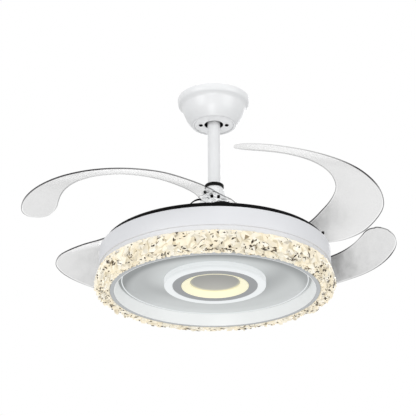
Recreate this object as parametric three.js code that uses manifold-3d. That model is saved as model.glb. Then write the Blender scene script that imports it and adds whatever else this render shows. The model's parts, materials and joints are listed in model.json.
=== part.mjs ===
// Ceiling fan with four folding blades and a round lamp.
// Millimetres, +Z up. The origin is the centre of the ceiling plate, so the fan hangs below z = 0.
// The blades are modelled swung out, as they stand while the fan turns.

import * as THREE from 'three';
import { mergeVertices } from 'three/addons/utils/BufferGeometryUtils.js';
import Module from 'manifold-3d';

const wasm = await Module();
wasm.setup();

// ---------------------------------------------------------------- driving sizes

const SEAT_GAP = 0.3; // between pieces that rest on each other
const RUN_GAP = 2.5; // between the turning tray and the lamp below it
const SWIVEL_GAP = 0.6; // between the ball, its liner and its seat
const SLIDE_GAP = 0.9; // between the gear ring and its guide

// Facets of round pieces, by their size
const WIDE = 32;
const MIDDLE = 20;
const NARROW = 14;
const FINE = 10;
const SPHERE = 24;

// Ceiling side
const CEILING_PLATE_RADIUS = 62;
const CEILING_PLATE_THICKNESS = 2;
const CANOPY_WALL = 1.5;
const CANOPY_HOLE_RADIUS = 20.1;
const SCREW_RADIUS = 2;
const SEAT_WEB = 1.3; // metal between the ball seat and the cover screws
const BALL_RADIUS = 24;
const BALL_DROP = 34; // ball centre below the ceiling
const LINER_THICKNESS = 1.7;
const SEAT_DROP = 12; // top of the seat plate below the ball centre
const SEAT_PLATE_MARGIN = 8.3; // seat plate beyond the middles of its screw holes
const SEAT_PLATE_THICKNESS = 6.5;
const LEG_THICKNESS = 2.5;
const LEG_WIDTH = 24;
const TONGUE_WIDTH = 4;

// Rod and motor
const ROD_RADIUS = 13.35;
const ROD_WALL = 2;
const ROD_END_DROP = 258; // lower end of the rod below the ceiling
const SEAL_LIFT = 50; // black ring above the lower end of the rod
const SEAL_RADIUS = 20;
const SEAL_HEIGHT = 5;
const COVER_WALL = 1.5;
const COVER_COLLAR = 3.65; // outer radius of the cover's top beyond the rod
const YOKE_WEB = 6;
const YOKE_SOCKET = 14;
const PIN_RADIUS = 3;
const SHAFT_RADIUS = 10;
const SHAFT_BORE = 6;
const WEB_HOLE = 9;
const SHAFT_COLLAR = 13.5;
const BEARING_RADIUS = 20;
const BEARING_HEIGHT = 8;
const BEARING_LIP = 16.5;
const MOTOR_RADIUS = 83.3;
const MOTOR_WALL = 2;
const MOTOR_HEIGHT = 61.5;
const MAGNET_THICKNESS = 5;
const MAGNET_HEIGHT = 18;
const AIR_GAP = 1;
const CORE_HEIGHT = 14;
const CORE_TEETH = 12;
const WINDING_HEIGHT = 6;

// Tray and blade gear
const SHELL_RADIUS = 237.5;
const TRAY_INSET = 9.9; // tray edge inside the lamp shell
const TRAY_THICKNESS = 2;
const TRAY_RIM = 9;
const PIVOT_INSET = 51.6; // blade pivots inside the tray edge
const PIVOT_AZIMUTH = -86.1;
const BLADE_COUNT = 4;
const SUN_TEETH = 155;
const PINION_TEETH = 21;
const PRESSURE_ANGLE = 20;
const BACKLASH = 0.4;
const GEAR_THICKNESS = 6;
const GEAR_LIFT = 1;
const SWING = 66; // degrees from swung out to folded
const RING_WIDTH = 12;
const GUIDE_WIDTH = 2.6;
const GUIDE_HEIGHT = 9;
const HOUSING_HEIGHT = 14.6;
const HOUSING_WALL = 1.8;
const PIVOT_PIN_RADIUS = 5;
const HUB_WALL = 3;
const WEDGE_RADIUS = 19;
const BLADE_THICKNESS = 2;

// Lamp
const SHELL_WALL = 1.5;
const SHELL_SIDE = 38.4;
const NECK_INSET = 3.5;
const NECK_HEIGHT = 10.3;
const LAMP_DEPTH = 87.5; // shell top to the silver rim
const RIM_INSET = 23.2;
const RIM_WIDTH = 8.3;
const CARRIER_RADIUS = 50;
const CARRIER_THICKNESS = 4;
const NUT_HEIGHT = 8;
const OPAL_OUTER = 104;
const OPAL_INNER = 87.2;
const OPAL_HEIGHT = 14.4;
const WARM_OUTER = 68.7;
const WARM_INNER = 51.3;
const WARM_DEPTH = 8.9;
const SHEET = 1.5;
const STUD_RADIUS = 5;
const LEAD_RADIUS = 2.5;

// ---------------------------------------------------------------- derived heights and radii

const ballZ = -BALL_DROP;
const rodTopZ = ballZ + 18;
const rodEndZ = -ROD_END_DROP;
const webTopZ = rodEndZ - SEAT_GAP;
const webEndZ = webTopZ - YOKE_WEB;
const shaftTopZ = webEndZ - SEAT_GAP;
const socketEndZ = shaftTopZ - YOKE_SOCKET;
const bossTopZ = socketEndZ - 4.4;
const trayZ = bossTopZ - MOTOR_HEIGHT;
const shellTopZ = trayZ - TRAY_RIM - RUN_GAP;
const shaftEndZ = shellTopZ - SHELL_WALL - CARRIER_THICKNESS - NUT_HEIGHT - 2.5;

const trayRadius = SHELL_RADIUS - TRAY_INSET;
const pivotRadius = trayRadius - PIVOT_INSET;
const gearModule = 2 * pivotRadius / (SUN_TEETH + PINION_TEETH);
const sunRadius = gearModule * SUN_TEETH / 2;
const pinionRadius = gearModule * PINION_TEETH / 2;
const addendum = 0.9 * gearModule;
const dedendum = 1.2 * gearModule;
const housingInner = pinionRadius + addendum + 0.9;
const housingOuter = housingInner + HOUSING_WALL;
const ringInner = sunRadius - dedendum - RING_WIDTH;
const guideOuter = ringInner - SLIDE_GAP;
const rimRadius = SHELL_RADIUS - RIM_INSET;
const rimZ = shellTopZ - LAMP_DEPTH;
const recessRadius = rimRadius - RIM_WIDTH;
const neckRadius = SHELL_RADIUS - NECK_INSET;
const neckEndZ = shellTopZ - SHELL_SIDE - NECK_HEIGHT;
const beadRadius = recessRadius - 16;
const panZ = rimZ + 23.8;
const panCentreZ = rimZ + 27.8;
const crestRadius = beadRadius - 40;
const crestZ = panZ + 9;
const opalZ = panCentreZ - SEAT_GAP - OPAL_HEIGHT;

// ---------------------------------------------------------------- solids

const radians = THREE.MathUtils.degToRad;

function signedVolume(positions, triangles) {
  const a = new THREE.Vector3();
  const b = new THREE.Vector3();
  const c = new THREE.Vector3();
  let sum = 0;
  for (let i = 0; i < triangles.length; i += 3) {
    a.fromArray(positions, 3 * triangles[i]);
    b.fromArray(positions, 3 * triangles[i + 1]);
    c.fromArray(positions, 3 * triangles[i + 2]);
    sum += a.dot(b.cross(c));
  }
  return sum / 6;
}

// A closed geometry as a solid, with its faces turned outwards.
function solid(geometry) {
  geometry.deleteAttribute('normal');
  geometry.deleteAttribute('uv');
  const merged = mergeVertices(geometry, 1e-4);
  const positions = merged.attributes.position.array;
  const corners = merged.index.array;
  const triangles = [];
  for (let i = 0; i < corners.length; i += 3) {
    const [a, b, c] = [corners[i], corners[i + 1], corners[i + 2]];
    if (a !== b && b !== c && c !== a) triangles.push(a, b, c);
  }
  if (signedVolume(positions, triangles) < 0) triangles.reverse();
  return new wasm.Manifold(new wasm.Mesh({
    numProp: 3,
    vertProperties: Float32Array.from(positions),
    triVerts: Uint32Array.from(triangles),
  }));
}

// A round solid about the Z axis from [radius, z] points. A profile off the axis closes on itself.
function lathe(profile, segments = WIDE) {
  const onAxis = profile[0][0] === 0 && profile.at(-1)[0] === 0;
  const outline = onAxis ? profile : [...profile, profile[0]];
  const points = outline.map(([radius, z]) => new THREE.Vector2(radius, z));
  const geometry = new THREE.LatheGeometry(points, segments);
  geometry.rotateX(Math.PI / 2);
  return solid(geometry);
}

function ring(inner, outer, low, high, segments = WIDE) {
  return lathe([[inner, low], [outer, low], [outer, high], [inner, high]], segments);
}

function disc(radius, low, high, segments = NARROW) {
  return lathe([[0, low], [radius, low], [radius, high], [0, high]], segments);
}

function box(low, high) {
  const size = high.map((value, axis) => value - low[axis]);
  const geometry = new THREE.BoxGeometry(...size);
  geometry.translate(...low.map((value, axis) => value + size[axis] / 2));
  return solid(geometry);
}

function ball(radius, z, segments = SPHERE) {
  const geometry = new THREE.SphereGeometry(radius, segments, segments / 2);
  geometry.rotateX(Math.PI / 2);
  geometry.translate(0, 0, z);
  return solid(geometry);
}

// A round bar along X or Y, centred on the Z axis at height z.
function crossBar(radius, length, z, along, segments = FINE) {
  const geometry = new THREE.CylinderGeometry(radius, radius, length, segments);
  if (along === 'x') geometry.rotateZ(Math.PI / 2);
  geometry.translate(0, 0, z);
  return solid(geometry);
}

function prism(shape, low, high) {
  const geometry = new THREE.ExtrudeGeometry(shape, {
    depth: high - low, bevelEnabled: false,
  });
  geometry.translate(0, 0, low);
  return solid(geometry);
}

// Moves every point of an open profile sideways by a wall, for the inner face of a sheet.
function offsetProfile(profile, wall) {
  return profile.map((point, i) => {
    const before = profile[Math.max(i - 1, 0)];
    const after = profile[Math.min(i + 1, profile.length - 1)];
    const length = Math.hypot(after[0] - before[0], after[1] - before[1]);
    return [
      point[0] + wall * (after[1] - before[1]) / length,
      point[1] - wall * (after[0] - before[0]) / length,
    ];
  });
}

// Radius of an open profile at a height, for profiles that run downwards.
function radiusAt(profile, z) {
  const i = profile.findIndex((point) => point[1] <= z);
  const [above, below] = [profile[i - 1], profile[i]];
  const share = (above[1] - z) / (above[1] - below[1]);
  return above[0] + (below[0] - above[0]) * share;
}

function sheetLathe(outer, wall, segments) {
  const inner = offsetProfile(outer, wall);
  return lathe([...outer, ...inner.reverse()], segments);
}

const root = new THREE.Group();

function finish(color, roughness, metalness = 0, opacity = 1) {
  return new THREE.MeshStandardMaterial({
    color, roughness, metalness, opacity, transparent: opacity < 1,
  });
}

function add(name, body, material, parent = root) {
  const { vertProperties, triVerts } = body.getMesh();
  const geometry = new THREE.BufferGeometry();
  geometry.setAttribute('position', new THREE.Float32BufferAttribute(vertProperties, 3));
  geometry.setIndex(Array.from(triVerts));
  geometry.computeVertexNormals();
  const mesh = new THREE.Mesh(geometry, material);
  mesh.name = name;
  parent.add(mesh);
}

const whitePaint = finish(0xe9eaec, 0.35);
const blackPlastic = finish(0x101010, 0.4);
const blackRubber = finish(0x0a0a0a, 0.7);
const steel = finish(0xb9bcc0, 0.35, 1);
const silver = finish(0xc3c6c8, 0.3, 0.7);
const greyPaint = finish(0xb5b8b9, 0.5);
const opal = finish(0xf3f6f6, 0.4);
const warmGlow = finish(0xfff6d0, 0.5);
const crystal = finish(0xfff3d8, 0.05, 0, 0.8);
const clearBlade = finish(0xd9d9d7, 0.1, 0, 0.45);
const copper = finish(0xb06a35, 0.4, 1);
const laminations = finish(0x55585c, 0.5, 1);
const magnet = finish(0x3a3b3d, 0.5, 0.5);
const circuit = finish(0x2f6b46, 0.6);
const boxPlastic = finish(0xdadcdc, 0.6);
const leadSleeve = finish(0xe4e4e2, 0.6);

// ---------------------------------------------------------------- ceiling side

const seatSphere = BALL_RADIUS + LINER_THICKNESS + 2 * SWIVEL_GAP;
const seatTopZ = ballZ - SEAT_DROP;
const seatEndZ = seatTopZ - SEAT_PLATE_THICKNESS;
const screwSpread = Math.sqrt(seatSphere ** 2 - SEAT_DROP ** 2) + SEAT_WEB + SCREW_RADIUS + SEAT_GAP;
const legOuter = screwSpread + SEAT_PLATE_MARGIN;
const legInner = legOuter - LEG_THICKNESS;
const canopyEndZ = seatEndZ - SEAT_GAP - 5.7 - CANOPY_WALL;

function hangerBracket() {
  let body = disc(CEILING_PLATE_RADIUS, -CEILING_PLATE_THICKNESS, 0, MIDDLE);
  const half = LEG_WIDTH / 2;
  const legLow = seatTopZ - 2;
  const legHigh = -CEILING_PLATE_THICKNESS / 2;
  body = body.add(disc(legOuter, seatEndZ, seatTopZ, MIDDLE));
  body = body.add(box([legInner, -half, legLow], [legOuter, half, legHigh]));
  body = body.add(box([-legOuter, -half, legLow], [-legInner, half, legHigh]));
  const tongue = box(
    [-legInner - 1, -TONGUE_WIDTH / 2, ballZ - TONGUE_WIDTH / 2],
    [-BALL_RADIUS + 2.5, TONGUE_WIDTH / 2, ballZ + TONGUE_WIDTH / 2],
  );
  body = body.add(tongue);
  body = body.subtract(ball(seatSphere, ballZ).intersect(disc(200, seatEndZ - 1, seatTopZ + 1)));
  const screwHole = disc(SCREW_RADIUS + SEAT_GAP, seatEndZ - 1, seatTopZ + 1, FINE);
  body = body.subtract(screwHole.translate([screwSpread, 0, 0]));
  body = body.subtract(screwHole.translate([-screwSpread, 0, 0]));
  const wireHole = disc(7, -CEILING_PLATE_THICKNESS - 1, 1, FINE);
  body = body.subtract(wireHole.translate([0, -24, 0]));
  const ceilingHole = disc(3, -CEILING_PLATE_THICKNESS - 1, 1, FINE);
  body = body.subtract(ceilingHole.translate([50, 0, 0]));
  body = body.subtract(ceilingHole.translate([-50, 0, 0]));
  return body;
}

// The bell from its rim at the ceiling to the edge of the rod hole.
function canopy() {
  const z = canopyEndZ;
  const outer = [
    [77.5, 0], [77.5, -8], [68.4, -11.5], [66, -25],
    [60.6, z + 20], [54.2, z + 10.5], [45, z], [CANOPY_HOLE_RADIUS, z],
  ];
  let body = sheetLathe(outer, CANOPY_WALL, MIDDLE);
  const hole = disc(SCREW_RADIUS + SEAT_GAP, z - 1, z + CANOPY_WALL + 1, FINE);
  body = body.subtract(hole.translate([screwSpread, 0, 0]));
  body = body.subtract(hole.translate([-screwSpread, 0, 0]));
  return body;
}

function canopyScrew() {
  const head = canopyEndZ - SEAT_GAP;
  return lathe([
    [0, head - 2.2], [2.6, head - 2.2], [4, head - 1], [4, head],
    [SCREW_RADIUS, head], [SCREW_RADIUS, seatTopZ - 1], [0, seatTopZ - 1],
  ], FINE);
}

function seatLiner() {
  const inner = BALL_RADIUS + SWIVEL_GAP;
  const outer = inner + LINER_THICKNESS;
  const low = seatEndZ + 0.3;
  const high = seatTopZ + 0.5;
  const band = disc(2 * outer, low, high);
  const shell = ball(outer, ballZ).subtract(ball(inner, ballZ));
  return shell.intersect(band);
}

add('hanger_bracket', hangerBracket(), steel);
add('canopy', canopy(), whitePaint);
add('canopy_screw_left', canopyScrew().translate([-screwSpread, 0, 0]), blackPlastic);
add('canopy_screw_right', canopyScrew().translate([screwSpread, 0, 0]), blackPlastic);

const underPlate = -CEILING_PLATE_THICKNESS - SEAT_GAP;
add('receiver_box', box([-32, 29, underPlate - 18], [32, 53, underPlate]), boxPlastic);
add('terminal_block', box([-22, -53, underPlate - 14], [22, -37, underPlate]), boxPlastic);
add('ball_seat_liner', seatLiner(), blackRubber);

// ---------------------------------------------------------------- rod, yoke and shaft

function hangerBall() {
  const bore = disc(ROD_RADIUS + SEAT_GAP, ballZ - 2 * BALL_RADIUS, ballZ + 2 * BALL_RADIUS, MIDDLE);
  const slot = box(
    [-2 * BALL_RADIUS, -TONGUE_WIDTH / 2 - 0.6, ballZ - TONGUE_WIDTH / 2 - 3],
    [-BALL_RADIUS + 3.3, TONGUE_WIDTH / 2 + 0.6, ballZ + TONGUE_WIDTH / 2 + 3],
  );
  const pinHole = crossBar(PIN_RADIUS + SEAT_GAP, 3 * BALL_RADIUS, ballZ, 'y');
  return ball(BALL_RADIUS, ballZ).subtract(bore).subtract(slot).subtract(pinHole);
}

const yokePinZ = rodEndZ + 10;

function downrod() {
  const tube = ring(ROD_RADIUS - ROD_WALL, ROD_RADIUS, rodEndZ, rodTopZ, MIDDLE);
  const ballPinHole = crossBar(PIN_RADIUS + SEAT_GAP, 4 * ROD_RADIUS, ballZ, 'y');
  const yokePinHole = crossBar(PIN_RADIUS + SEAT_GAP, 4 * ROD_RADIUS, yokePinZ, 'x');
  return tube.subtract(ballPinHole).subtract(yokePinHole);
}

const sealZ = rodEndZ + SEAL_LIFT;
const sealTopZ = sealZ + SEAL_HEIGHT;
const coverTopZ = sealZ - SEAT_GAP;
const coverEndZ = socketEndZ - 1.4;
const collar = ROD_RADIUS + COVER_COLLAR;
const coverOuter = [
  [ROD_RADIUS + SEAT_GAP, coverTopZ], [collar, coverTopZ], [collar + 1.6, coverTopZ - 3.4],
  [collar + 9.5, coverTopZ - 24], [collar + 16, coverTopZ - 42], [collar + 22.5, coverTopZ - 57],
  [collar + 30, coverEndZ],
];

// The socket for the rod, its web and a flange that holds the cover from inside.
function yoke() {
  const socket = ROD_RADIUS + SEAT_GAP;
  const flange = radiusAt(offsetProfile(coverOuter, COVER_WALL), webTopZ) - SEAT_GAP;
  const body = lathe([
    [WEB_HOLE, webEndZ], [WEB_HOLE, webTopZ], [socket, webTopZ], [socket, webTopZ + 22],
    [socket + 5, webTopZ + 22], [socket + 5, webTopZ], [flange, webTopZ], [flange, webTopZ - 3],
    [SHAFT_RADIUS + 7, webTopZ - 3], [SHAFT_RADIUS + 7, socketEndZ],
    [SHAFT_RADIUS + SEAT_GAP, socketEndZ], [SHAFT_RADIUS + SEAT_GAP, webEndZ],
  ], MIDDLE);
  return body.subtract(crossBar(PIN_RADIUS + SEAT_GAP, 60, yokePinZ, 'x'));
}

function motorShaft(coreZ, lowerBearingZ) {
  return lathe([
    [SHAFT_BORE, shaftEndZ], [SHAFT_RADIUS, shaftEndZ], [SHAFT_RADIUS, shellTopZ + SEAT_GAP],
    [SHAFT_COLLAR, shellTopZ + SEAT_GAP], [SHAFT_COLLAR, lowerBearingZ - SEAT_GAP],
    [SHAFT_RADIUS, lowerBearingZ - SEAT_GAP], [SHAFT_RADIUS, coreZ - 3],
    [SHAFT_COLLAR, coreZ - 3], [SHAFT_COLLAR, coreZ - SEAT_GAP],
    [SHAFT_RADIUS, coreZ - SEAT_GAP], [SHAFT_RADIUS, shaftTopZ], [SHAFT_BORE, shaftTopZ],
  ], NARROW);
}

const upperBearingZ = bossTopZ - 1 - BEARING_HEIGHT;
const lowerBearingZ = trayZ - 6.5;
const coreZ = (upperBearingZ - 3 + trayZ - CORE_HEIGHT) / 2;
const magnetOuter = MOTOR_RADIUS - MOTOR_WALL - SEAT_GAP;
const magnetInner = magnetOuter - MAGNET_THICKNESS;
const coreRadius = magnetInner - AIR_GAP;
const slotInner = 0.58 * coreRadius;
const slotOuter = coreRadius - 7;
const toothWidth = 9;

// The stator core: a hub, straight teeth and a wide shoe on each tooth.
function statorCore() {
  const shape = new THREE.Shape();
  const shoeHalf = radians(360 / CORE_TEETH / 2 - 2);
  for (let i = 0; i < CORE_TEETH; i += 1) {
    const centre = radians(i * 360 / CORE_TEETH);
    const corner = (radius, offset) => {
      const angle = centre + Math.asin(offset / radius);
      return [radius * Math.cos(angle), radius * Math.sin(angle)];
    };
    const shoe = (radius, turn) => [
      radius * Math.cos(centre + turn), radius * Math.sin(centre + turn),
    ];
    const outline = [
      corner(slotInner, -toothWidth / 2), corner(slotOuter, -toothWidth / 2),
      shoe(slotOuter + 2, -shoeHalf), shoe(coreRadius, -shoeHalf),
      shoe(coreRadius, shoeHalf), shoe(slotOuter + 2, shoeHalf),
      corner(slotOuter, toothWidth / 2), corner(slotInner, toothWidth / 2),
    ];
    outline.forEach(([x, y], k) => {
      if (i === 0 && k === 0) shape.moveTo(x, y);
      else shape.lineTo(x, y);
    });
  }
  shape.closePath();
  const core = prism(shape, coreZ, coreZ + CORE_HEIGHT);
  return core.subtract(disc(SHAFT_RADIUS + SEAT_GAP, coreZ - 1, coreZ + CORE_HEIGHT + 1));
}

// End turns above and below the core, joined by the wires in the slots.
function statorWinding() {
  const inner = slotInner + 1;
  const outer = slotOuter - 1;
  const top = coreZ + CORE_HEIGHT + SEAT_GAP;
  const bottom = coreZ - SEAT_GAP;
  let body = ring(inner, outer, top, top + WINDING_HEIGHT, MIDDLE);
  body = body.add(ring(inner, outer, bottom - WINDING_HEIGHT, bottom, MIDDLE));
  const slotWidth = 2 * Math.PI * inner / CORE_TEETH - toothWidth - 2;
  for (let i = 0; i < CORE_TEETH; i += 1) {
    const bar = box([inner + 1, -slotWidth / 2, bottom - 1], [outer - 1, slotWidth / 2, top + 1]);
    body = body.add(bar.rotate([0, 0, (i + 0.5) * 360 / CORE_TEETH]));
  }
  return body;
}

add('hanger_ball', hangerBall(), blackPlastic);
add('ball_pin', crossBar(PIN_RADIUS, 2 * BALL_RADIUS - 10, ballZ, 'y'), steel);
add('downrod', downrod(), whitePaint);
add('seal_ring', lathe([
  [ROD_RADIUS + SEAT_GAP, sealZ], [SEAL_RADIUS - 1, sealZ], [SEAL_RADIUS, sealZ + 1],
  [SEAL_RADIUS, sealTopZ - 1], [SEAL_RADIUS - 1, sealTopZ], [ROD_RADIUS + SEAT_GAP, sealTopZ],
], MIDDLE), blackRubber);
add('yoke_cover', sheetLathe(coverOuter, COVER_WALL, MIDDLE), whitePaint);
add('yoke', yoke(), steel);
add('yoke_pin', crossBar(PIN_RADIUS, 2 * (ROD_RADIUS + 6.5), yokePinZ, 'x'), steel);
add('motor_shaft', motorShaft(coreZ, lowerBearingZ), steel);
add('stator_core', statorCore(), laminations);
add('stator_winding', statorWinding(), copper);

// ---------------------------------------------------------------- turning motor parts and tray

function bearing(low) {
  return ring(SHAFT_RADIUS + SEAT_GAP, BEARING_RADIUS, low, low + BEARING_HEIGHT, NARROW);
}

const seatRadius = BEARING_RADIUS + SEAT_GAP;

function rotorHousing() {
  const lip = upperBearingZ - SEAT_GAP;
  const foot = trayZ + SEAT_GAP;
  const r = MOTOR_RADIUS;
  const w = MOTOR_WALL;
  return lathe([
    [BEARING_LIP, lip - 2], [BEARING_LIP, lip], [seatRadius, lip], [seatRadius, bossTopZ],
    [seatRadius + 4, bossTopZ], [seatRadius + 5, lip + 1], [r - 9, lip - 1],
    [r, lip - 9], [r, foot + 2], [r + 8, foot + 2], [r + 8, foot],
    [r - w, foot], [r - w, lip - 10], [r - 10, lip - 3],
  ]);
}

function bladeTray() {
  const under = trayZ - TRAY_THICKNESS;
  const rimEnd = trayZ - TRAY_RIM;
  const lip = lowerBearingZ - SEAT_GAP;
  const guideInner = guideOuter - GUIDE_WIDTH;
  let body = lathe([
    [BEARING_LIP, lip - 1.2], [seatRadius + 4, lip - 1.2], [seatRadius + 4, under],
    [trayRadius - 2, under], [trayRadius - 2, rimEnd], [trayRadius, rimEnd],
    [trayRadius, trayZ - 1], [trayRadius - 1, trayZ], [guideOuter, trayZ],
    [guideOuter, trayZ + GUIDE_HEIGHT], [guideInner, trayZ + GUIDE_HEIGHT], [guideInner, trayZ],
    [seatRadius + 4, trayZ], [seatRadius + 4, trayZ + 3], [seatRadius, trayZ + 3],
    [seatRadius, lip], [BEARING_LIP, lip],
  ]);
  const hole = disc(PIVOT_PIN_RADIUS + SEAT_GAP, under - 1, trayZ + 1, FINE);
  for (let k = 0; k < BLADE_COUNT; k += 1) body = body.subtract(atPivot(hole, k));
  return body;
}

// Carries a solid made about the Z axis to blade pivot k.
function atPivot(body, k) {
  return body.translate([pivotRadius, 0, 0]).rotate([0, 0, PIVOT_AZIMUTH + 90 * k]);
}

add('rotor_housing', rotorHousing(), whitePaint);
add('rotor_bearing_upper', bearing(upperBearingZ), steel);
add('rotor_bearing_lower', bearing(lowerBearingZ), steel);
const magnetZ = coreZ + CORE_HEIGHT / 2 - MAGNET_HEIGHT / 2;
add('magnet_ring', ring(magnetInner, magnetOuter, magnetZ, magnetZ + MAGNET_HEIGHT), magnet);
add('blade_tray', bladeTray(), blackPlastic);

// ---------------------------------------------------------------- gears that join the blades

const involute = (angle) => Math.tan(angle) - angle;

// Half the angle that a tooth covers at a radius.
function toothHalfAngle(radius, pitch, teeth) {
  const base = pitch * Math.cos(radians(PRESSURE_ANGLE));
  const atPitch = Math.PI / (2 * teeth) - BACKLASH / (4 * pitch);
  const flank = Math.acos(Math.min(1, base / radius));
  return atPitch + involute(radians(PRESSURE_ANGLE)) - involute(flank);
}

// Points of one tooth, from its left root to its right root, about the angle at its middle.
function toothPoints(middle, pitch, teeth) {
  const radii = [pitch - dedendum, pitch + addendum];
  const half = radii.map((radius) => toothHalfAngle(radius, pitch, teeth));
  const left = radii.map((radius, i) => [radius, middle - half[i]]);
  const right = radii.map((radius, i) => [radius, middle + half[i]]).reverse();
  return [...left, ...right];
}

function shapeFromPolar(points) {
  const shape = new THREE.Shape();
  points.forEach(([radius, angle], i) => {
    const x = radius * Math.cos(angle);
    const y = radius * Math.sin(angle);
    if (i === 0) shape.moveTo(x, y);
    else shape.lineTo(x, y);
  });
  shape.closePath();
  return shape;
}

const gearLow = trayZ + GEAR_LIFT;
const gearHigh = gearLow + GEAR_THICKNESS;
const ringTurn = SWING * PINION_TEETH / SUN_TEETH;

// The ring is toothed only where a pinion runs on it. It turns forwards as the blades fold back.
function syncRing() {
  const points = [];
  const pitchAngle = 2 * Math.PI / SUN_TEETH;
  const plain = sunRadius - dedendum;
  const before = Math.ceil(radians(ringTurn) / pitchAngle) + 1;
  const after = 1;
  for (let k = 0; k < BLADE_COUNT; k += 1) {
    const contact = radians(PIVOT_AZIMUTH + 90 * k);
    for (let tooth = -before; tooth <= after; tooth += 1) {
      points.push(...toothPoints(contact + tooth * pitchAngle, sunRadius, SUN_TEETH));
    }
    const start = contact + (after + 1) * pitchAngle;
    const end = contact + Math.PI / 2 - (before + 1) * pitchAngle;
    for (let i = 0; i <= 6; i += 1) points.push([plain, start + (end - start) * i / 6]);
  }
  const body = prism(shapeFromPolar(points), trayZ + SEAT_GAP, gearHigh);
  return body.subtract(disc(ringInner, trayZ - 1, gearHigh + 1, WIDE));
}

// The pinion sector about its own pivot. Its gap at angle PI faces the ring.
function pinion() {
  const points = [];
  const pitchAngle = 2 * Math.PI / PINION_TEETH;
  const covered = Math.ceil(radians(SWING) / pitchAngle);
  for (let tooth = -1; tooth <= covered; tooth += 1) {
    const middle = Math.PI + (tooth + 0.5) * pitchAngle;
    points.push(...toothPoints(middle, pinionRadius, PINION_TEETH));
  }
  const plain = pinionRadius - dedendum;
  const start = Math.PI + (covered + 1) * pitchAngle;
  const end = 3 * Math.PI - pitchAngle;
  for (let i = 0; i <= 6; i += 1) points.push([plain, start + (end - start) * i / 6]);
  return prism(shapeFromPolar(points), gearLow, gearHigh);
}

add('sync_ring', syncRing(), boxPlastic);

// ---------------------------------------------------------------- blades

// Each station has a point on the outer edge and one on the inner edge: the distances along X and Y
// from the pivot, and the height above the tray. The blade rises from its outer to its inner edge.
const BLADE_STATIONS = [
  [[28, -10, 17.5], [27, 8, 19.5]],
  [[20, -28, 16.5], [10, 27, 23.5]],
  [[6, -45, 16], [-15, 27, 27]],
  [[-7, -67, 13], [-36, 10, 31]],
  [[-23, -92, 11.5], [-54, -16, 37]],
  [[-61, -126, 12.5], [-92, -39, 46]],
  [[-109, -148, 18], [-136, -56, 52]],
  [[-165, -157, 21.5], [-184, -62, 56]],
  [[-216, -149, 25.5], [-226, -53, 59]],
  [[-263, -130, 29], [-259, -36, 61]],
  [[-311, -98, 32], [-287, -10, 63]],
  [[-352, -56, 33.5], [-307, 21, 64.5]],
  [[-382, -4, 36], [-319, 51, 65.2]],
  [[-398, 51, 39.5], [-327, 81, 65.3]],
  [[-400, 92, 43.5], [-333, 108, 64.5]],
  [[-389, 125, 49.5], [-342, 127, 62]],
  [[-371, 140, 55.5], [-356, 139, 58]],
];
const BLADE_STATIONS_PIVOT_RADIUS = 176; // the pivot radius that the stations are drawn for
const BLADE_SETS = [0, 0, 0, 4]; // how far each blade stands round on its hub, in degrees
const BLADE_STEPS = 22;
const BLADE_STRIPS = 2;

const bladeScale = pivotRadius / BLADE_STATIONS_PIVOT_RADIUS;

function edgeCurve(side) {
  const points = BLADE_STATIONS.map((station) => {
    const [x, y, height] = station[side];
    return new THREE.Vector3(x * bladeScale, y * bladeScale, height);
  });
  return new THREE.CatmullRomCurve3(points, false, 'centripetal');
}

// A blade about its own pivot, or the space from `below` its middle face to `above` it.
function bladeSolid(below, above) {
  const outer = edgeCurve(0).getPoints(BLADE_STEPS);
  const inner = edgeCurve(1).getPoints(BLADE_STEPS);
  const positions = [];
  const level = (offset) => {
    for (let i = 0; i <= BLADE_STEPS; i += 1) {
      for (let j = 0; j <= BLADE_STRIPS; j += 1) {
        const point = outer[i].clone().lerp(inner[i], j / BLADE_STRIPS);
        positions.push(point.x, point.y, trayZ + point.z + offset);
      }
    }
  };
  level(-below);
  level(above);
  const row = BLADE_STRIPS + 1;
  const upper = row * (BLADE_STEPS + 1);
  const triangles = [];
  const quad = (a, b, c, d) => triangles.push(a, b, c, a, c, d);
  for (let i = 0; i < BLADE_STEPS; i += 1) {
    for (let j = 0; j < BLADE_STRIPS; j += 1) {
      const a = i * row + j;
      quad(a, a + 1, a + row + 1, a + row);
      quad(upper + a, upper + a + row, upper + a + row + 1, upper + a + 1);
    }
    const outerEdge = i * row;
    const innerEdge = outerEdge + BLADE_STRIPS;
    quad(outerEdge, outerEdge + row, upper + outerEdge + row, upper + outerEdge);
    quad(innerEdge, upper + innerEdge, upper + innerEdge + row, innerEdge + row);
  }
  for (let j = 0; j < BLADE_STRIPS; j += 1) {
    const end = BLADE_STEPS * row + j;
    quad(j, upper + j, upper + j + 1, j + 1);
    quad(end, end + 1, upper + end + 1, upper + end);
  }
  const geometry = new THREE.BufferGeometry();
  geometry.setAttribute('position', new THREE.Float32BufferAttribute(positions, 3));
  geometry.setIndex(triangles);
  return solid(geometry);
}

const half = BLADE_THICKNESS / 2;
const hubInner = PIVOT_PIN_RADIUS + SEAT_GAP;
const hubOuter = hubInner + HUB_WALL;
const housingTopZ = trayZ + HOUSING_HEIGHT;

// Pinion, tube about the pin and the wedge under the blade root, in one piece.
function bladeHub(swungBlade) {
  const tube = disc(hubOuter, gearLow, housingTopZ + 2);
  const wedge = disc(WEDGE_RADIUS, housingTopZ + 0.6, housingTopZ + 40).subtract(swungBlade);
  const bore = disc(hubInner, gearLow - 1, housingTopZ - 1, FINE);
  return tube.add(pinion()).add(wedge).subtract(bore);
}

// A cup over the pinion, open towards the ring.
function pivotHousing(k) {
  const low = trayZ + SEAT_GAP;
  let body = lathe([
    [housingInner, low], [housingOuter, low], [housingOuter, housingTopZ - 1.2],
    [housingOuter - 1.2, housingTopZ], [hubOuter + 0.4, housingTopZ],
    [hubOuter + 0.4, housingTopZ - 2], [housingInner, housingTopZ - 2],
  ], MIDDLE);
  body = atPivot(body, k);
  return body.subtract(disc(sunRadius + addendum + 1.2, trayZ - 1, gearHigh + 1.2, WIDE));
}

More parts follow.
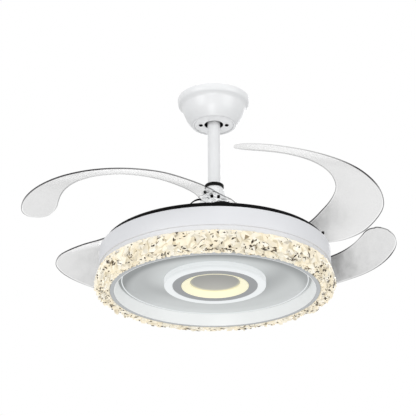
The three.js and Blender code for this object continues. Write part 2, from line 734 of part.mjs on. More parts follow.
function pivotPin() {
  const headTop = trayZ - TRAY_THICKNESS - SEAT_GAP;
  return lathe([
    [0, headTop - 2], [8, headTop - 2], [8, headTop], [PIVOT_PIN_RADIUS, headTop],
    [PIVOT_PIN_RADIUS, housingTopZ - 2], [0, housingTopZ - 2],
  ], FINE);
}

const springLow = gearHigh + SEAT_GAP;
const springHigh = housingTopZ - 2 - SEAT_GAP;

// The blade's stations are drawn square to X and Y, so its own turn is undone before atPivot turns it.
const bladeTurn = (body) => body.rotate([0, 0, -PIVOT_AZIMUTH]);
const bladeAbout = bladeTurn(bladeSolid(half, half));
const spaceAbove = bladeTurn(bladeSolid(half + SEAT_GAP, 60));

for (let k = 0; k < BLADE_COUNT; k += 1) {
  const number = k + 1;
  add(`pivot_housing_${number}`, pivotHousing(k), blackPlastic);
  add(`pivot_pin_${number}`, atPivot(pivotPin(), k), steel);
  const spring = ring(hubOuter + SWIVEL_GAP, hubOuter + 3.5, springLow, springHigh, FINE);
  add(`return_spring_${number}`, atPivot(spring, k), steel);
  const set = [0, 0, BLADE_SETS[k]];
  add(`blade_hub_${number}`, atPivot(bladeHub(spaceAbove.rotate(set)), k), blackPlastic);
  add(`blade_${number}`, atPivot(bladeAbout.rotate(set), k), clearBlade);
}

// ---------------------------------------------------------------- lamp

// The drum, closed on top, with studs inside that hold the pan.
function lampShell() {
  const side = shellTopZ - SHELL_SIDE;
  const r = SHELL_RADIUS;
  const w = SHELL_WALL;
  const hole = SHAFT_RADIUS + SEAT_GAP;
  let body = lathe([
    [hole, shellTopZ], [r - 4.5, shellTopZ], [r - 1.3, shellTopZ - 1.3], [r, shellTopZ - 4.5],
    [r, side], [neckRadius, side], [neckRadius, neckEndZ], [neckRadius - w, neckEndZ],
    [neckRadius - w, side + w], [r - w, side + w], [r - w, shellTopZ - 5],
    [r - 5, shellTopZ - w], [hole, shellTopZ - w],
  ]);
  const stud = disc(STUD_RADIUS, crestZ + SHEET + SEAT_GAP, shellTopZ - w / 2, FINE);
  for (const azimuth of [45, 165, 285]) {
    body = body.add(stud.translate([crestRadius, 0, 0]).rotate([0, 0, azimuth]));
  }
  return body;
}

const carrierZ = shellTopZ - SHELL_WALL - SEAT_GAP;
const nutZ = carrierZ - CARRIER_THICKNESS - SEAT_GAP;

function hexNut() {
  const body = disc(15, nutZ - NUT_HEIGHT, nutZ, 6);
  return body.subtract(disc(SHAFT_RADIUS + SEAT_GAP, nutZ - NUT_HEIGHT - 1, nutZ + 1));
}

// Clear ring behind the crystals: an upright wall with a flange that rests on the silver rim.
const wallOuter = neckRadius - SHELL_WALL - SEAT_GAP;
const wallInner = wallOuter - 3;
const flangeZ = rimZ + 4.5;
const flangeTopZ = flangeZ + 3;
const flangeInner = rimRadius - 5.3;

function crystalCarrier() {
  return lathe([
    [flangeInner, flangeZ], [wallOuter, flangeZ], [wallOuter, neckEndZ + 8],
    [wallInner, neckEndZ + 8], [wallInner, flangeTopZ], [flangeInner, flangeTopZ],
  ]);
}

// Uneven facets: each corner of the band moves by its own share of the step.
function unevenness(i, j) {
  const wave = Math.sin(12.9898 * i + 78.233 * j) * 43758.5453;
  return 2 * (wave - Math.floor(wave)) - 1;
}

function crystalBand() {
  const segments = 54;
  const r = SHELL_RADIUS;
  const inner = wallOuter + 2 * SEAT_GAP;
  const top = neckEndZ - SEAT_GAP;
  const low = flangeZ - SEAT_GAP;
  const profile = [
    [inner, top, 0], [r + 4, top, 1], [r + 9.8, top - 7, 1.6], [r + 10.6, top - 17, 1.8],
    [r + 9, top - 27, 1.6], [r + 4, rimZ + 2.8, 1.6], [r - 6, rimZ - 0.8, 1.4],
    [rimRadius + 4, rimZ - 0.6, 0.9], [rimRadius + 0.6, low, 0], [inner, low, 0],
  ];
  const positions = [];
  for (let i = 0; i < segments; i += 1) {
    profile.forEach(([radius, z, step], j) => {
      const angle = 2 * Math.PI * (i + (j % 2) / 2 * (step > 0)) / segments;
      const reach = radius + step * unevenness(i, j);
      const height = j === 1 ? z : z + 0.6 * step * unevenness(j, i + 40);
      positions.push(reach * Math.cos(angle), reach * Math.sin(angle), height);
    });
  }
  const count = profile.length;
  const triangles = [];
  for (let i = 0; i < segments; i += 1) {
    for (let j = 0; j < count; j += 1) {
      const a = i * count + j;
      const b = i * count + (j + 1) % count;
      const c = ((i + 1) % segments) * count + (j + 1) % count;
      const d = ((i + 1) % segments) * count + j;
      if ((i + j) % 2) triangles.push(a, b, c, a, c, d);
      else triangles.push(a, b, d, b, c, d);
    }
  }
  const geometry = new THREE.BufferGeometry();
  geometry.setAttribute('position', new THREE.Float32BufferAttribute(positions, 3));
  geometry.setIndex(triangles);
  return solid(geometry);
}

function bottomRim() {
  return lathe([
    [recessRadius, rimZ], [rimRadius - 0.6, rimZ], [rimRadius, rimZ + 0.8],
    [rimRadius, flangeZ - SEAT_GAP], [rimRadius - SHEET, flangeZ - SEAT_GAP],
    [rimRadius - SHEET, rimZ + 1.6], [recessRadius, rimZ + 1.6],
  ]);
}

// White wall of the recess, with a flange above the silver rim and a ledge above the pan.
function recessWall() {
  const low = recessRadius - SEAT_GAP;
  const high = beadRadius + 7;
  const flange = rimZ + 1.6 + SEAT_GAP;
  return lathe([
    [low - SHEET, rimZ + 0.3], [low, rimZ + 0.3], [low, flange], [low + 4.5, flange],
    [low + 4.5, flange + SHEET], [low, flange + SHEET], [high + SHEET, panZ + 2.2],
    [high + SHEET, panZ + 3], [high - 3, panZ + 3], [high - 3, panZ + SHEET + SEAT_GAP],
    [high, panZ + SHEET + SEAT_GAP], [high, panZ],
  ]);
}

function reflectorPan() {
  const edge = beadRadius + 7 - SEAT_GAP;
  const outer = [
    [edge, panZ], [beadRadius + 1, panZ], [beadRadius, panZ - 0.9], [beadRadius - 1, panZ],
    [beadRadius - 7, panZ + 5.6], [crestRadius, crestZ], [OPAL_OUTER, panCentreZ],
    [40, panCentreZ],
  ];
  return lathe([
    ...outer, [40, panCentreZ + SHEET], [OPAL_OUTER, panCentreZ + SHEET],
    [crestRadius, crestZ + SHEET], [beadRadius - 8, panZ + 5.6 + SHEET],
    [beadRadius - 2, panZ + SHEET], [edge, panZ + SHEET],
  ]);
}

// The thick white ring with a fine groove round its side and a ledge over the grey ring.
function opalRing() {
  const top = panCentreZ - SEAT_GAP;
  const ledge = opalZ + 3.4;
  return lathe([
    [OPAL_INNER, opalZ], [OPAL_OUTER - 1.5, opalZ], [OPAL_OUTER, opalZ + 1.5],
    [OPAL_OUTER, opalZ + 6.6], [OPAL_OUTER - 0.8, opalZ + 7.2], [OPAL_OUTER, opalZ + 7.8],
    [OPAL_OUTER, top], [OPAL_INNER - 3, top], [OPAL_INNER - 3, ledge], [OPAL_INNER, ledge],
  ]);
}

const greyZ = opalZ + 0.6;
const warmFlangeZ = greyZ + 2 + SEAT_GAP;
const warmTopZ = opalZ + WARM_DEPTH;

function warmDiffuser() {
  return lathe([
    [WARM_OUTER, opalZ], [WARM_OUTER, warmFlangeZ], [WARM_OUTER + 5, warmFlangeZ],
    [WARM_OUTER + 5, warmFlangeZ + SHEET], [WARM_OUTER - 1, warmFlangeZ + SHEET],
    [WARM_INNER + 1, warmTopZ], [WARM_INNER, warmTopZ], [WARM_INNER, warmTopZ - 1],
    [WARM_OUTER - 1.4, opalZ],
  ]);
}

function supplyLead() {
  const turnZ = shaftEndZ - 30;
  const end = driverBottomZ - SEAT_GAP;
  const beside = PIN_RADIUS + LEAD_RADIUS + 0.8;
  const route = [
    [beside, 0, rodTopZ - 2], [beside, 0, ballZ - 30], [0.7 * beside, 0.7 * beside, ballZ - 110],
    [0, beside, yokePinZ + 10], [0, beside, yokePinZ - 4], [0, 2.8, shaftTopZ],
    [0, 0.6, shaftTopZ - 12], [0, 0, shaftTopZ - 30], [0, 0, trayZ], [0, 0, shaftEndZ - 8],
    [0, 3, turnZ + 9], [0, 10, turnZ + 3], [0, 22, turnZ], [0, 48, turnZ], [0, 73, turnZ],
    [0, 85, turnZ + 3], [0, 92, turnZ + 9], [0, 94, turnZ + 16], [0, 94, end],
  ].map((point) => new THREE.Vector3(...point));
  const section = new THREE.Shape();
  section.absarc(0, 0, LEAD_RADIUS, 0, 2 * Math.PI);
  const geometry = new THREE.ExtrudeGeometry(section, {
    steps: 32, curveSegments: 3, extrudePath: new THREE.CatmullRomCurve3(route, false, 'centripetal'),
  });
  return solid(geometry);
}

const driverBottomZ = carrierZ - 25;
add('lamp_shell', lampShell(), whitePaint);
const carrierEndZ = carrierZ - CARRIER_THICKNESS;
add('lamp_carrier', ring(SHAFT_RADIUS + SEAT_GAP, CARRIER_RADIUS, carrierEndZ, carrierZ, MIDDLE), steel);
add('shaft_nut', hexNut(), steel);
add('led_driver', box([-60, 80, driverBottomZ], [60, 140, carrierZ]), boxPlastic);
add('motor_controller', box([-45, -135, carrierZ - 22], [45, -85, carrierZ]), boxPlastic);
add('supply_lead', supplyLead(), leadSleeve);
add('crystal_carrier', crystalCarrier(), crystal);
add('crystal_band', crystalBand(), crystal);
const stripInner = wallInner - SEAT_GAP - 1;
add('edge_led_strip', ring(stripInner, stripInner + 1, flangeTopZ + SEAT_GAP, neckEndZ - 2), circuit);
add('bottom_rim', bottomRim(), silver);
add('recess_wall', recessWall(), opal);
add('reflector_pan', reflectorPan(), greyPaint);
add('opal_ring', opalRing(), opal);
add('grey_ring', ring(WARM_OUTER + SEAT_GAP, OPAL_INNER - SEAT_GAP, greyZ, greyZ + 2), greyPaint);
add('warm_diffuser', warmDiffuser(), warmGlow);
add('centre_disc', disc(WARM_INNER + 2.7, warmTopZ + SEAT_GAP, warmTopZ + SEAT_GAP + SHEET, WIDE), greyPaint);
const boardZ = panCentreZ - SEAT_GAP;
add('led_board', ring(30, OPAL_INNER - 3 - SEAT_GAP, boardZ - 1.6, boardZ), circuit);

export default root;
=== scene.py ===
# Looks of a ceiling fan with folding clear blades and a round crystal lamp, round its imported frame.
# Metres, +Z up, with the origin at the ceiling. Blender 4.5.

import json
import math
import random

import bmesh
import bpy
from bpy.props import FloatProperty, FloatVectorProperty, IntProperty, PointerProperty
from mathutils import Matrix, Vector
from mathutils.bvhtree import BVHTree


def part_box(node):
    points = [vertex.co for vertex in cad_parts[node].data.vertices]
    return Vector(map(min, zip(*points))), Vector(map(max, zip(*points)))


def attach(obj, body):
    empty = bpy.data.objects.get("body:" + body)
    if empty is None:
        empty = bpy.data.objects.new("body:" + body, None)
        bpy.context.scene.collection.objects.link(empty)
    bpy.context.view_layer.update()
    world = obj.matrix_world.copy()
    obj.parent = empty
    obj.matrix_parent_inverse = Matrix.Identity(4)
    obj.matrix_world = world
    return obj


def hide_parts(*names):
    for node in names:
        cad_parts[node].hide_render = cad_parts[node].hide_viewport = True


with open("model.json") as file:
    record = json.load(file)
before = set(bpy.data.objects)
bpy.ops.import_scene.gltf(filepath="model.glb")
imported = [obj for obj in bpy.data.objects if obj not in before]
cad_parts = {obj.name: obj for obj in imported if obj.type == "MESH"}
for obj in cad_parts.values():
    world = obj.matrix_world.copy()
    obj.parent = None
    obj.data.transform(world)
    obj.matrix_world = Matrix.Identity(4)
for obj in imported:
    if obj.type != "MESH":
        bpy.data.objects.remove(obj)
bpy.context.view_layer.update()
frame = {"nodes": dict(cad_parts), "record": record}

bl_info = {
    "name": "Folding Blade Fan",
    "version": (1, 0, 0),
    "blender": (4, 5, 0),
    "location": "View3D > Sidebar > Fan",
    "description": "Builds the surfaces of a ceiling fan with folding blades and a crystal lamp",
    "category": "Object",
}

MM = 0.001
BLADES = 4
LAMP_STEPS = 240  # faces round the lamp's large rings
PIVOT_RADIUS = 0.176
PIVOT_AZIMUTH = math.radians(-86.1)


def span(node):
    """Outer radius, top and foot of a round node, in millimetres."""
    low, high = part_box(node)
    return high.x / MM, high.z / MM, low.z / MM


TRAY_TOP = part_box("sync_ring")[0].z - 0.3 * MM
DRUM_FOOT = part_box("lamp_shell")[0].z
RIM_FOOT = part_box("bottom_rim")[0].z

# ---------------------------------------------------------------- shader nodes


class Value:
    """A socket of a finish. Arithmetic on it adds Math nodes."""

    def __init__(self, finish, socket):
        self.finish = finish
        self.socket = socket

    def math(self, operation, first, second):
        return self.finish.node(
            "ShaderNodeMath", {"operation": operation}, {0: first, 1: second}
        )

    def __add__(self, other):
        return self.math("ADD", self, other)

    def __radd__(self, other):
        return self.math("ADD", other, self)

    def __sub__(self, other):
        return self.math("SUBTRACT", self, other)

    def __rsub__(self, other):
        return self.math("SUBTRACT", other, self)

    def __mul__(self, other):
        return self.math("MULTIPLY", self, other)

    def __rmul__(self, other):
        return self.math("MULTIPLY", other, self)


class Nodes:
    """The nodes of a material or of the world."""

    def __init__(self, owner):
        owner.use_nodes = True
        self.tree = owner.node_tree
        self.tree.nodes.clear()

    def node(self, kind, settings=None, inputs=None, output=0):
        """Adds a node: its settings first, then its inputs. Returns one of its outputs."""
        node = self.tree.nodes.new(kind)
        for key, setting in (settings or {}).items():
            if key == "stops":
                ramp = node.color_ramp
                while len(ramp.elements) < len(setting):
                    ramp.elements.new(0.5)
                for element, (position, color) in zip(ramp.elements, setting):
                    element.position = position
                    element.color = (*color, 1)
            else:
                setattr(node, key, setting)
        for key, value in (inputs or {}).items():
            if isinstance(value, Value):
                self.tree.links.new(value.socket, node.inputs[key])
            else:
                node.inputs[key].default_value = value
        return Value(self, node.outputs[output]) if node.outputs else None

    def most(self, first, second):
        """The larger of two values."""
        return self.node("ShaderNodeMath", {"operation": "MAXIMUM"}, {0: first, 1: second})

    def seen(self):
        """1 for rays from the camera, off gloss or through glass."""
        camera, gloss, glass = (
            self.node("ShaderNodeLightPath", output=f"Is {kind} Ray")
            for kind in ("Camera", "Glossy", "Transmission")
        )
        return self.most(self.most(camera, gloss), glass)


class Finish(Nodes):
    """A material made of nodes."""

    def __init__(self, name):
        self.material = bpy.data.materials.new(name)
        super().__init__(self.material)

    def place(self, scale=(1, 1, 1)):
        """Position on the object, stretched by a scale."""
        here = self.node("ShaderNodeTexCoord", output="Object")
        return self.node("ShaderNodeMapping", {}, {"Vector": here, "Scale": scale})

    def noise(self, scale, detail=3.0, roughness=0.5, stretch=(1, 1, 1)):
        return self.node(
            "ShaderNodeTexNoise", {},
            {"Vector": self.place(stretch), "Scale": scale, "Detail": detail, "Roughness": roughness},
        )

    def attribute(self, name):
        return self.node("ShaderNodeAttribute", {"attribute_name": name}, {}, "Fac")

    def step(self, value, start, end, low=0.0, high=1.0):
        """A smooth change from low to high as the value goes from start to end."""
        return self.node(
            "ShaderNodeMapRange", {"interpolation_type": "SMOOTHSTEP"},
            {"Value": value, "From Min": start, "From Max": end, "To Min": low, "To Max": high},
        )

    def measure(self, operation, first, second):
        """A number from two vectors, such as the distance between them."""
        return self.node("ShaderNodeVectorMath", {"operation": operation}, {0: first, 1: second}, "Value")

    def radius(self, x=0.0, y=0.0):
        """Distance from an upright line, in metres. The line is the rod's axis or stands off it."""
        return self.measure("DISTANCE", self.place((1, 1, 0)), (x, y, 0))

    def ramp(self, factor, stops):
        return self.node("ShaderNodeValToRGB", {"stops": stops}, {"Fac": factor})

    def blend(self, factor, first, second, how="MIX"):
        """Between two colours, or the first one times the second."""
        return self.node(
            "ShaderNodeMix", {"data_type": "RGBA", "blend_type": how},
            {0: factor, 6: color4(first), 7: color4(second)}, 2,
        )

    def spread(self, value, low, high):
        """A value from 0 to 1 as a value from low to high."""
        return value * (high - low) + low

    def bump(self, height, depth, strength=1.0):
        return self.node(
            "ShaderNodeBump", {}, {"Height": height, "Distance": depth, "Strength": strength}
        )

    def surface(self, inputs):
        """The finish's one principled shader."""
        shader = self.node("ShaderNodeBsdfPrincipled", {}, inputs)
        self.output(shader)
        return self.material

    def output(self, shader):
        self.node("ShaderNodeOutputMaterial", {}, {"Surface": shader})


def color4(color):
    return color if isinstance(color, Value) else (*color, 1)


def shade(color, share):
    return tuple(channel * share for channel in color)


def paint(name, color, roughness, coat=0.0, grain=700, depth=0.00006, lift=0.0):
    """Sprayed paint: a little mottling and a fine orange peel. Faces that look down can get a painted glow,
    standing in for light from below.
    """
    made = Finish(name)
    glow = {}
    # Painted light: faces that look down glow in the paint's own colour, as if lit from the floor.
    if lift:
        normal = made.node("ShaderNodeNewGeometry", output="Normal")
        down = made.measure("DOT_PRODUCT", normal, (0, 0, -1))
        lit = made.blend(made.step(down, 0.9, 0.99), (0, 0, 0), color)
        glow = {"Emission Color": lit, "Emission Strength": lift}
    cloud = made.noise(9, 4)
    fleck = made.noise(60, 5)
    tint = made.blend(cloud, shade(color, 0.97), shade(color, 1.02))
    rough = made.spread(fleck, roughness * 0.85, roughness * 1.15)
    return made.surface({
        "Base Color": tint, "Roughness": rough, "Coat Weight": coat, "Coat Roughness": 0.15,
        "Normal": made.bump(made.noise(grain, 2), depth, 0.5), **glow,
    })


def plastic(name, color, roughness, grain=1500, depth=0.00004, shine=0.4):
    """Moulded plastic with a fine spark-eroded grain."""
    made = Finish(name)
    cloud = made.noise(40, 4)
    tint = made.blend(cloud, shade(color, 0.92), shade(color, 1.06))
    return made.surface({
        "Base Color": tint, "Roughness": made.spread(cloud, roughness * 0.9, roughness * 1.15),
        "Normal": made.bump(made.noise(grain, 3), depth, 0.6), "Specular IOR Level": shine,
    })


def rubber(name, color):
    """Matt rubber, a little dusty."""
    made = Finish(name)
    fine = made.noise(2500, 3)
    dust = made.noise(25, 5)
    return made.surface({
        "Base Color": made.blend(dust, shade(color, 0.8), shade(color, 1.5)),
        "Roughness": made.spread(dust, 0.55, 0.75), "Normal": made.bump(fine, 0.00008, 0.7),
        "Specular IOR Level": 0.1,
    })


def metal(name, color, roughness, stretch=(1, 1, 30)):
    """Plated or turned metal with fine lines along one direction."""
    made = Finish(name)
    lines = made.noise(60, 4, 0.6, stretch)
    cloud = made.noise(18, 3)
    return made.surface({
        "Base Color": made.blend(cloud, shade(color, 0.9), shade(color, 1.05)), "Metallic": 1.0,
        "Roughness": made.spread(lines, roughness * 0.75, roughness * 1.3),
        "Normal": made.bump(lines, 0.00003, 0.4),
    })


def opal(name, color, glow, strength):
    """Milky plastic with a glow, for light from behind in the lamp's rings and cone; on the wall, the pan's
    bead and the crystals' clear ring the glow is painted light.
    """
    made = Finish(name)
    cloud = made.noise(14, 3)
    tint = made.blend(cloud, shade(color, 0.975), color)
    return made.surface({
        "Base Color": tint, "Roughness": made.spread(cloud, 0.32, 0.42),
        "Emission Color": made.blend(cloud, shade(glow, 0.96), glow), "Emission Strength": strength,
        "Normal": made.bump(made.noise(900, 2), 0.00003, 0.4),
    })


def winding(name, color):
    """Enamelled wire laid in turns."""
    made = Finish(name)
    turns = made.node(
        "ShaderNodeTexWave", {"wave_type": "RINGS", "rings_direction": "Z"},
        {"Vector": made.place(), "Scale": 300.0, "Distortion": 1.0, "Detail": 2.0},
    )
    return made.surface({
        "Base Color": made.blend(turns, shade(color, 0.6), color), "Metallic": 0.9,
        "Roughness": made.spread(turns, 0.25, 0.45), "Normal": made.bump(turns, 0.0003, 0.8),
    })


def laminations(name, color):
    """Stacked thin sheets seen from the side."""
    made = Finish(name)
    sheets = made.node(
        "ShaderNodeTexWave", {"wave_type": "BANDS", "bands_direction": "Z"},
        {"Vector": made.place(), "Scale": 320.0, "Distortion": 0.2},
    )
    return made.surface({
        "Base Color": made.blend(sheets, shade(color, 0.6), color), "Metallic": 0.8,
        "Roughness": made.spread(sheets, 0.4, 0.6), "Normal": made.bump(sheets, 0.0001, 0.7),
    })


def board(name, color):
    """A circuit board with pale pads."""
    made = Finish(name)
    pads = made.node(
        "ShaderNodeTexVoronoi", {"feature": "F1"}, {"Vector": made.place(), "Scale": 120.0}
    )
    mask = made.ramp(pads, [(0.0, (1, 1, 1)), (0.22, (0, 0, 0))])
    return made.surface({
        "Base Color": made.blend(mask, color, (0.75, 0.72, 0.5)), "Roughness": 0.45,
        "Normal": made.bump(mask, 0.0003, 0.5),
    })


def pan_paint_with_painted_shade(name, edge, middle, roughness):
    """Satin paint with painted shade: darker where the rim would shade the pan, round the foot of the ring
    in its middle and beside that ring.
    """
    made = Finish(name)
    cloud = made.noise(7, 4)
    across = made.measure("DOT_PRODUCT", made.place(), (0.35, 0.94, 0))
    out = made.radius()
    # Painted shade: the near rim's shadow, stronger on one side, the shade round the ring's foot and a
    # darker band beside the ring.
    near = made.step(made.radius(0, 0.07), 0.172, 0.202) * made.step(across, -0.09, 0.0, 1.0, 0.62)
    foot = made.step(out, 0.165, 0.104) * made.step(across, -0.04, 0.05)
    beside = made.step(across, 0.11, 0.0) * made.step(out, 0.112, 0.15)
    depth = near + foot * 0.6 + beside * 0.36 + (cloud - 0.5) * 0.06
    tint = made.blend(depth, middle, edge)
    return made.surface({
        "Base Color": tint, "Roughness": made.spread(cloud, roughness * 0.9, roughness * 1.15),
        "Normal": made.bump(made.noise(500, 2), 0.00005, 0.4), "Specular IOR Level": 0.3,
    })


def disc_paint_with_painted_light(name, color, painted_cone_light):
    """Grey disc with painted light of the lit cone: a yellow painted glow towards its edge and a lighter
    painted patch on one side.
    """
    made = Finish(name)
    cloud = made.noise(30, 3)
    # Painted light: lighter on one side, and a glow near the edge that stands in for the cone's light on the
    # disc.
    far = made.step(made.radius(0, 0.06), 0.10, 0.015)
    grey = made.blend(far, made.blend(cloud, shade(color, 0.94), shade(color, 0.98)), shade(color, 1.35))
    glow = made.step(made.radius(0, -0.007), 0.045, 0.060)
    tint = made.blend(glow, grey, painted_cone_light)
    return made.surface({
        "Base Color": tint, "Roughness": made.spread(cloud, 0.4, 0.5), "Specular IOR Level": 0.3,
        "Emission Color": made.blend(glow, (0, 0, 0), painted_cone_light), "Emission Strength": 0.12,
        "Normal": made.bump(made.noise(900, 2), 0.00003, 0.4),
    })


def crystal(name, light, dark, strength):
    """Cut crystal with painted light: each face gets its own painted brightness, from dark shade to a bright
    glint, and a glow stands in for light through the glass.
    """
    made = Finish(name)
    facet = made.attribute("facet")
    streak = made.noise(260, 4, 0.6, (1, 1, 0.4))
    warmth = made.step(made.noise(55, 2), 0.42, 0.62)
    mixed = facet + (streak - 0.5) * 0.10
    stops = [
        (0.0, shade(dark, 0.3)), (0.08, dark), (0.16, shade(dark, 2.4)), (0.25, (0.30, 0.25, 0.17)),
        (0.34, (0.49, 0.45, 0.37)), (0.46, shade(light, 0.85)), (0.66, light), (0.85, shade(light, 1.06)),
        (1.0, (0.80, 0.77, 0.70)),
    ]
    hue = made.blend(warmth, (1.0, 0.965, 0.9), (0.97, 0.98, 1.0))
    color = made.blend(1.0, made.ramp(mixed, stops), hue, "MULTIPLY")
    # The glow is painted light as well, and it lifts the shade between the stones.
    return made.surface({
        "Base Color": made.blend(1.0, color, (0.42, 0.42, 0.42), "MULTIPLY"),
        "Roughness": made.spread(streak, 0.05, 0.2),
        "Emission Color": color, "Emission Strength": strength,
        "Coat Weight": made.spread(facet, 0.0, 0.3), "Coat Roughness": 0.05,
        "Specular IOR Level": 0.2, "Normal": made.bump(streak, 0.0004, 0.3),
    })


def clear_plastic(name, color, edge, haze):
    """Clear moulded plastic with painted dark edge lines for light bent at its edges, a clear strip inside
    them and darker places.
    """
    made = Finish(name)
    smoke = made.attribute("smoke")
    flow = made.noise(9, 5, 0.55)
    streak = made.noise(60, 6, 0.62, (1, 0.35, 1))
    speck = made.noise(230, 3)
    darkened = smoke + (streak - 0.5) * (smoke * 0.7 + 0.12) + (flow - 0.5) * 0.25
    patch = made.step(darkened, 0.0, 1.6)
    # The edge lines are painted shade, for the light that the clear edges bend away.
    lines, strips = [], []
    for side in ("outer", "inner"):
        gap, weight = made.attribute(f"{side}_gap"), made.attribute(f"{side}_line")
        wide = gap - weight * 0.20
        lines.append(made.step(wide, 0.04, 0.09, 1.0, 0.0) * made.spread(weight, 0.12, 0.95))
        strips.append(made.step(wide, 0.22, 0.34, 0.85, 0.0))
    line = made.most(*lines)
    strip = made.most(strips[0], strips[1] * 0.5)
    tint = made.blend(patch, color, shade(color, 0.25))
    # Painted shade: the upper faces are made darker.
    tint = made.blend(made.attribute("upper") * 0.4, tint, (0, 0, 0))
    clear = made.step(smoke, -0.05, -0.45)
    bend = made.node("ShaderNodeMath", {"operation": "ABSOLUTE"}, {0: made.noise(34, 2, 0.4) - 0.5})
    vein = made.step(bend, 0.020, 0.005, 0.0, 0.85) * clear
    line = made.most(line, vein)
    tint = made.blend(made.step(line, 0.02, 0.3), tint, edge)
    body = (haze + patch * 0.42 + (speck - 0.5) * 0.04) * (1 - strip) * (1 - clear * 0.85)
    return made.surface({
        "Base Color": tint, "Roughness": made.spread(flow, 0.06, 0.18), "Alpha": made.most(line, body),
        "Specular IOR Level": 0.3, "IOR": 1.12,
        "Normal": made.bump(flow * 0.9 + speck * 0.1, 0.0012, 0.4),
    })


def clear_root(name, color):
    """Thick clear plastic with painted dark bends where it is ribbed inside, standing in for light bent by
    the ribs, and a painted white glow between them.
    """
    made = Finish(name)
    bends = made.node(
        "ShaderNodeTexWave", {"wave_type": "RINGS", "rings_direction": "Z"},
        {"Vector": made.place(), "Scale": 26.0, "Distortion": 9.0, "Detail": 3.0, "Detail Scale": 1.4},
    )
    vein = made.step(bends, 0.03, 0.11, 1.0, 0.0)
    tint = made.blend(vein, color, (0.16, 0.16, 0.16))
    return made.surface({
        "Base Color": tint, "Roughness": made.spread(bends, 0.08, 0.2),
        "Alpha": made.spread(vein, 0.5, 0.9), "Coat Weight": 0.2, "Coat Roughness": 0.05,
        "Emission Color": made.blend(vein, (1, 1, 1), (0, 0, 0)), "Emission Strength": 0.25,
        "Normal": made.bump(bends, 0.0015, 0.5),
    })


# ---------------------------------------------------------------- mesh making


def rounded(outline, closed=True):
    """Softens the corners of an outline of (radius, z) or (radius, z, corner size) points."""
    points = [Vector(point[:2]) for point in outline]
    count = len(points)
    made = []
    for i, corner in enumerate(outline):
        here = points[i]
        size = corner[2] if len(corner) > 2 else 0.0
        if size <= 0 or (not closed and i in (0, count - 1)):
            made.append(tuple(here))
            continue
        before = points[i - 1] - here
        after = points[(i + 1) % count] - here
        cut = min(size, 0.48 * before.length, 0.48 * after.length)
        start = here + before.normalized() * cut
        end = here + after.normalized() * cut
        for step in range(6):
            t = step / 5
            point = start.lerp(here, t).lerp(here.lerp(end, t), t)
            made.append(tuple(point))
    return made


def link(name, data):
    """A new object in the scene, for a mesh, a lamp or a lens."""
    made = bpy.data.objects.new(name, data)
    bpy.context.scene.collection.objects.link(made)
    return made


def soften(mesh, angle=32):
    """Smooth shading, with sharp edges kept where faces meet at more than the angle."""
    mesh.polygons.foreach_set("use_smooth", [True] * len(mesh.polygons))
    mesh.set_sharp_from_angle(angle=math.radians(angle))
    mesh.update()


def close_up(mesh, angle=32, near=1e-6):
    """Joins corners that lie together, turns the faces outwards and softens the shading."""
    shape = bmesh.new()
    shape.from_mesh(mesh)
    bmesh.ops.remove_doubles(shape, verts=shape.verts, dist=near)
    bmesh.ops.recalc_face_normals(shape, faces=shape.faces)
    shape.to_mesh(mesh)
    shape.free()
    soften(mesh, angle)


def mesh_of(name, corners, faces, angle=32):
    mesh = bpy.data.meshes.new(name)
    mesh.from_pydata([tuple(corner) for corner in corners], [], faces)
    close_up(mesh, angle)
    return mesh


def settled(name, shape):
    """A soft-shaded mesh of a shape that is done."""
    mesh = bpy.data.meshes.new(name)
    shape.to_mesh(mesh)
    shape.free()
    soften(mesh)
    return mesh


def turned(name, outline, steps=168, closed=True, centre=(0, 0)):
    """A mesh turned about an upright axis, from an outline in millimetres. An open one ends on the axis."""
    ring = rounded([[number * MM for number in point] for point in outline], closed)
    corners, faces = [], []
    count = len(ring)
    for k in range(steps):
        angle = 2 * math.pi * k / steps
        c, s = math.cos(angle), math.sin(angle)
        corners.extend((centre[0] + r * c, centre[1] + r * s, z) for r, z in ring)
    for k in range(steps):
        a, b = k * count, (k + 1) % steps * count
        for i in range(count if closed else count - 1):
            j = (i + 1) % count
            faces.append((a + i, a + j, b + j, b + i))
    return mesh_of(name, corners, faces)


def joined(name, meshes):
    """One mesh from several."""
    whole = bmesh.new()
    for mesh in meshes:
        whole.from_mesh(mesh)
        bpy.data.meshes.remove(mesh)
    return settled(name, whole)


def block(low, high, bevel):
    """A box with softened edges, from two corners in millimetres."""
    shape = bmesh.new()
    bmesh.ops.create_cube(shape, size=1)
    low, high = Vector(low) * MM, Vector(high) * MM
    for corner in shape.verts:
        corner.co = Vector(a * b for a, b in zip(corner.co, high - low)) + (low + high) / 2
    bmesh.ops.bevel(
        shape, geom=shape.edges, offset=bevel * MM, segments=3, profile=0.5, affect="EDGES"
    )
    return settled("block", shape)


def cut_away(mesh, tool):
    """The mesh with the tool's space taken out of it."""
    body, cutter = link("cut_body", mesh), link("cut_tool", tool)
    cut = body.modifiers.new("cut", "BOOLEAN")
    cut.operation, cut.solver, cut.object = "DIFFERENCE", "EXACT", cutter
    bpy.context.view_layer.update()
    done = body.evaluated_get(bpy.context.evaluated_depsgraph_get())
    made = bpy.data.meshes.new_from_object(done)
    for leftover in (body, cutter):
        bpy.data.objects.remove(leftover)
    soften(made)
    return made


def quarter(mesh, k, stand=0):
    """A copy of the mesh, turned by `stand` degrees about its pivot and k quarters about the rod."""
    copy = mesh.copy()
    centre = pivot()
    swung = Matrix.Translation(centre) @ Matrix.Rotation(math.radians(stand), 4, "Z")
    copy.transform(swung @ Matrix.Translation(-centre))
    copy.transform(Matrix.Rotation(k * math.pi / 2, 4, "Z"))
    return copy


def fit(name, mesh, look, body, nodes):
    """Makes the piece: its finish, the body it rides on and the nodes it stands for."""
    piece = link(name, mesh)
    mesh.materials.clear()
    mesh.materials.append(look)
    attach(piece, body)
    if nodes:
        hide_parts(*nodes)
    return piece


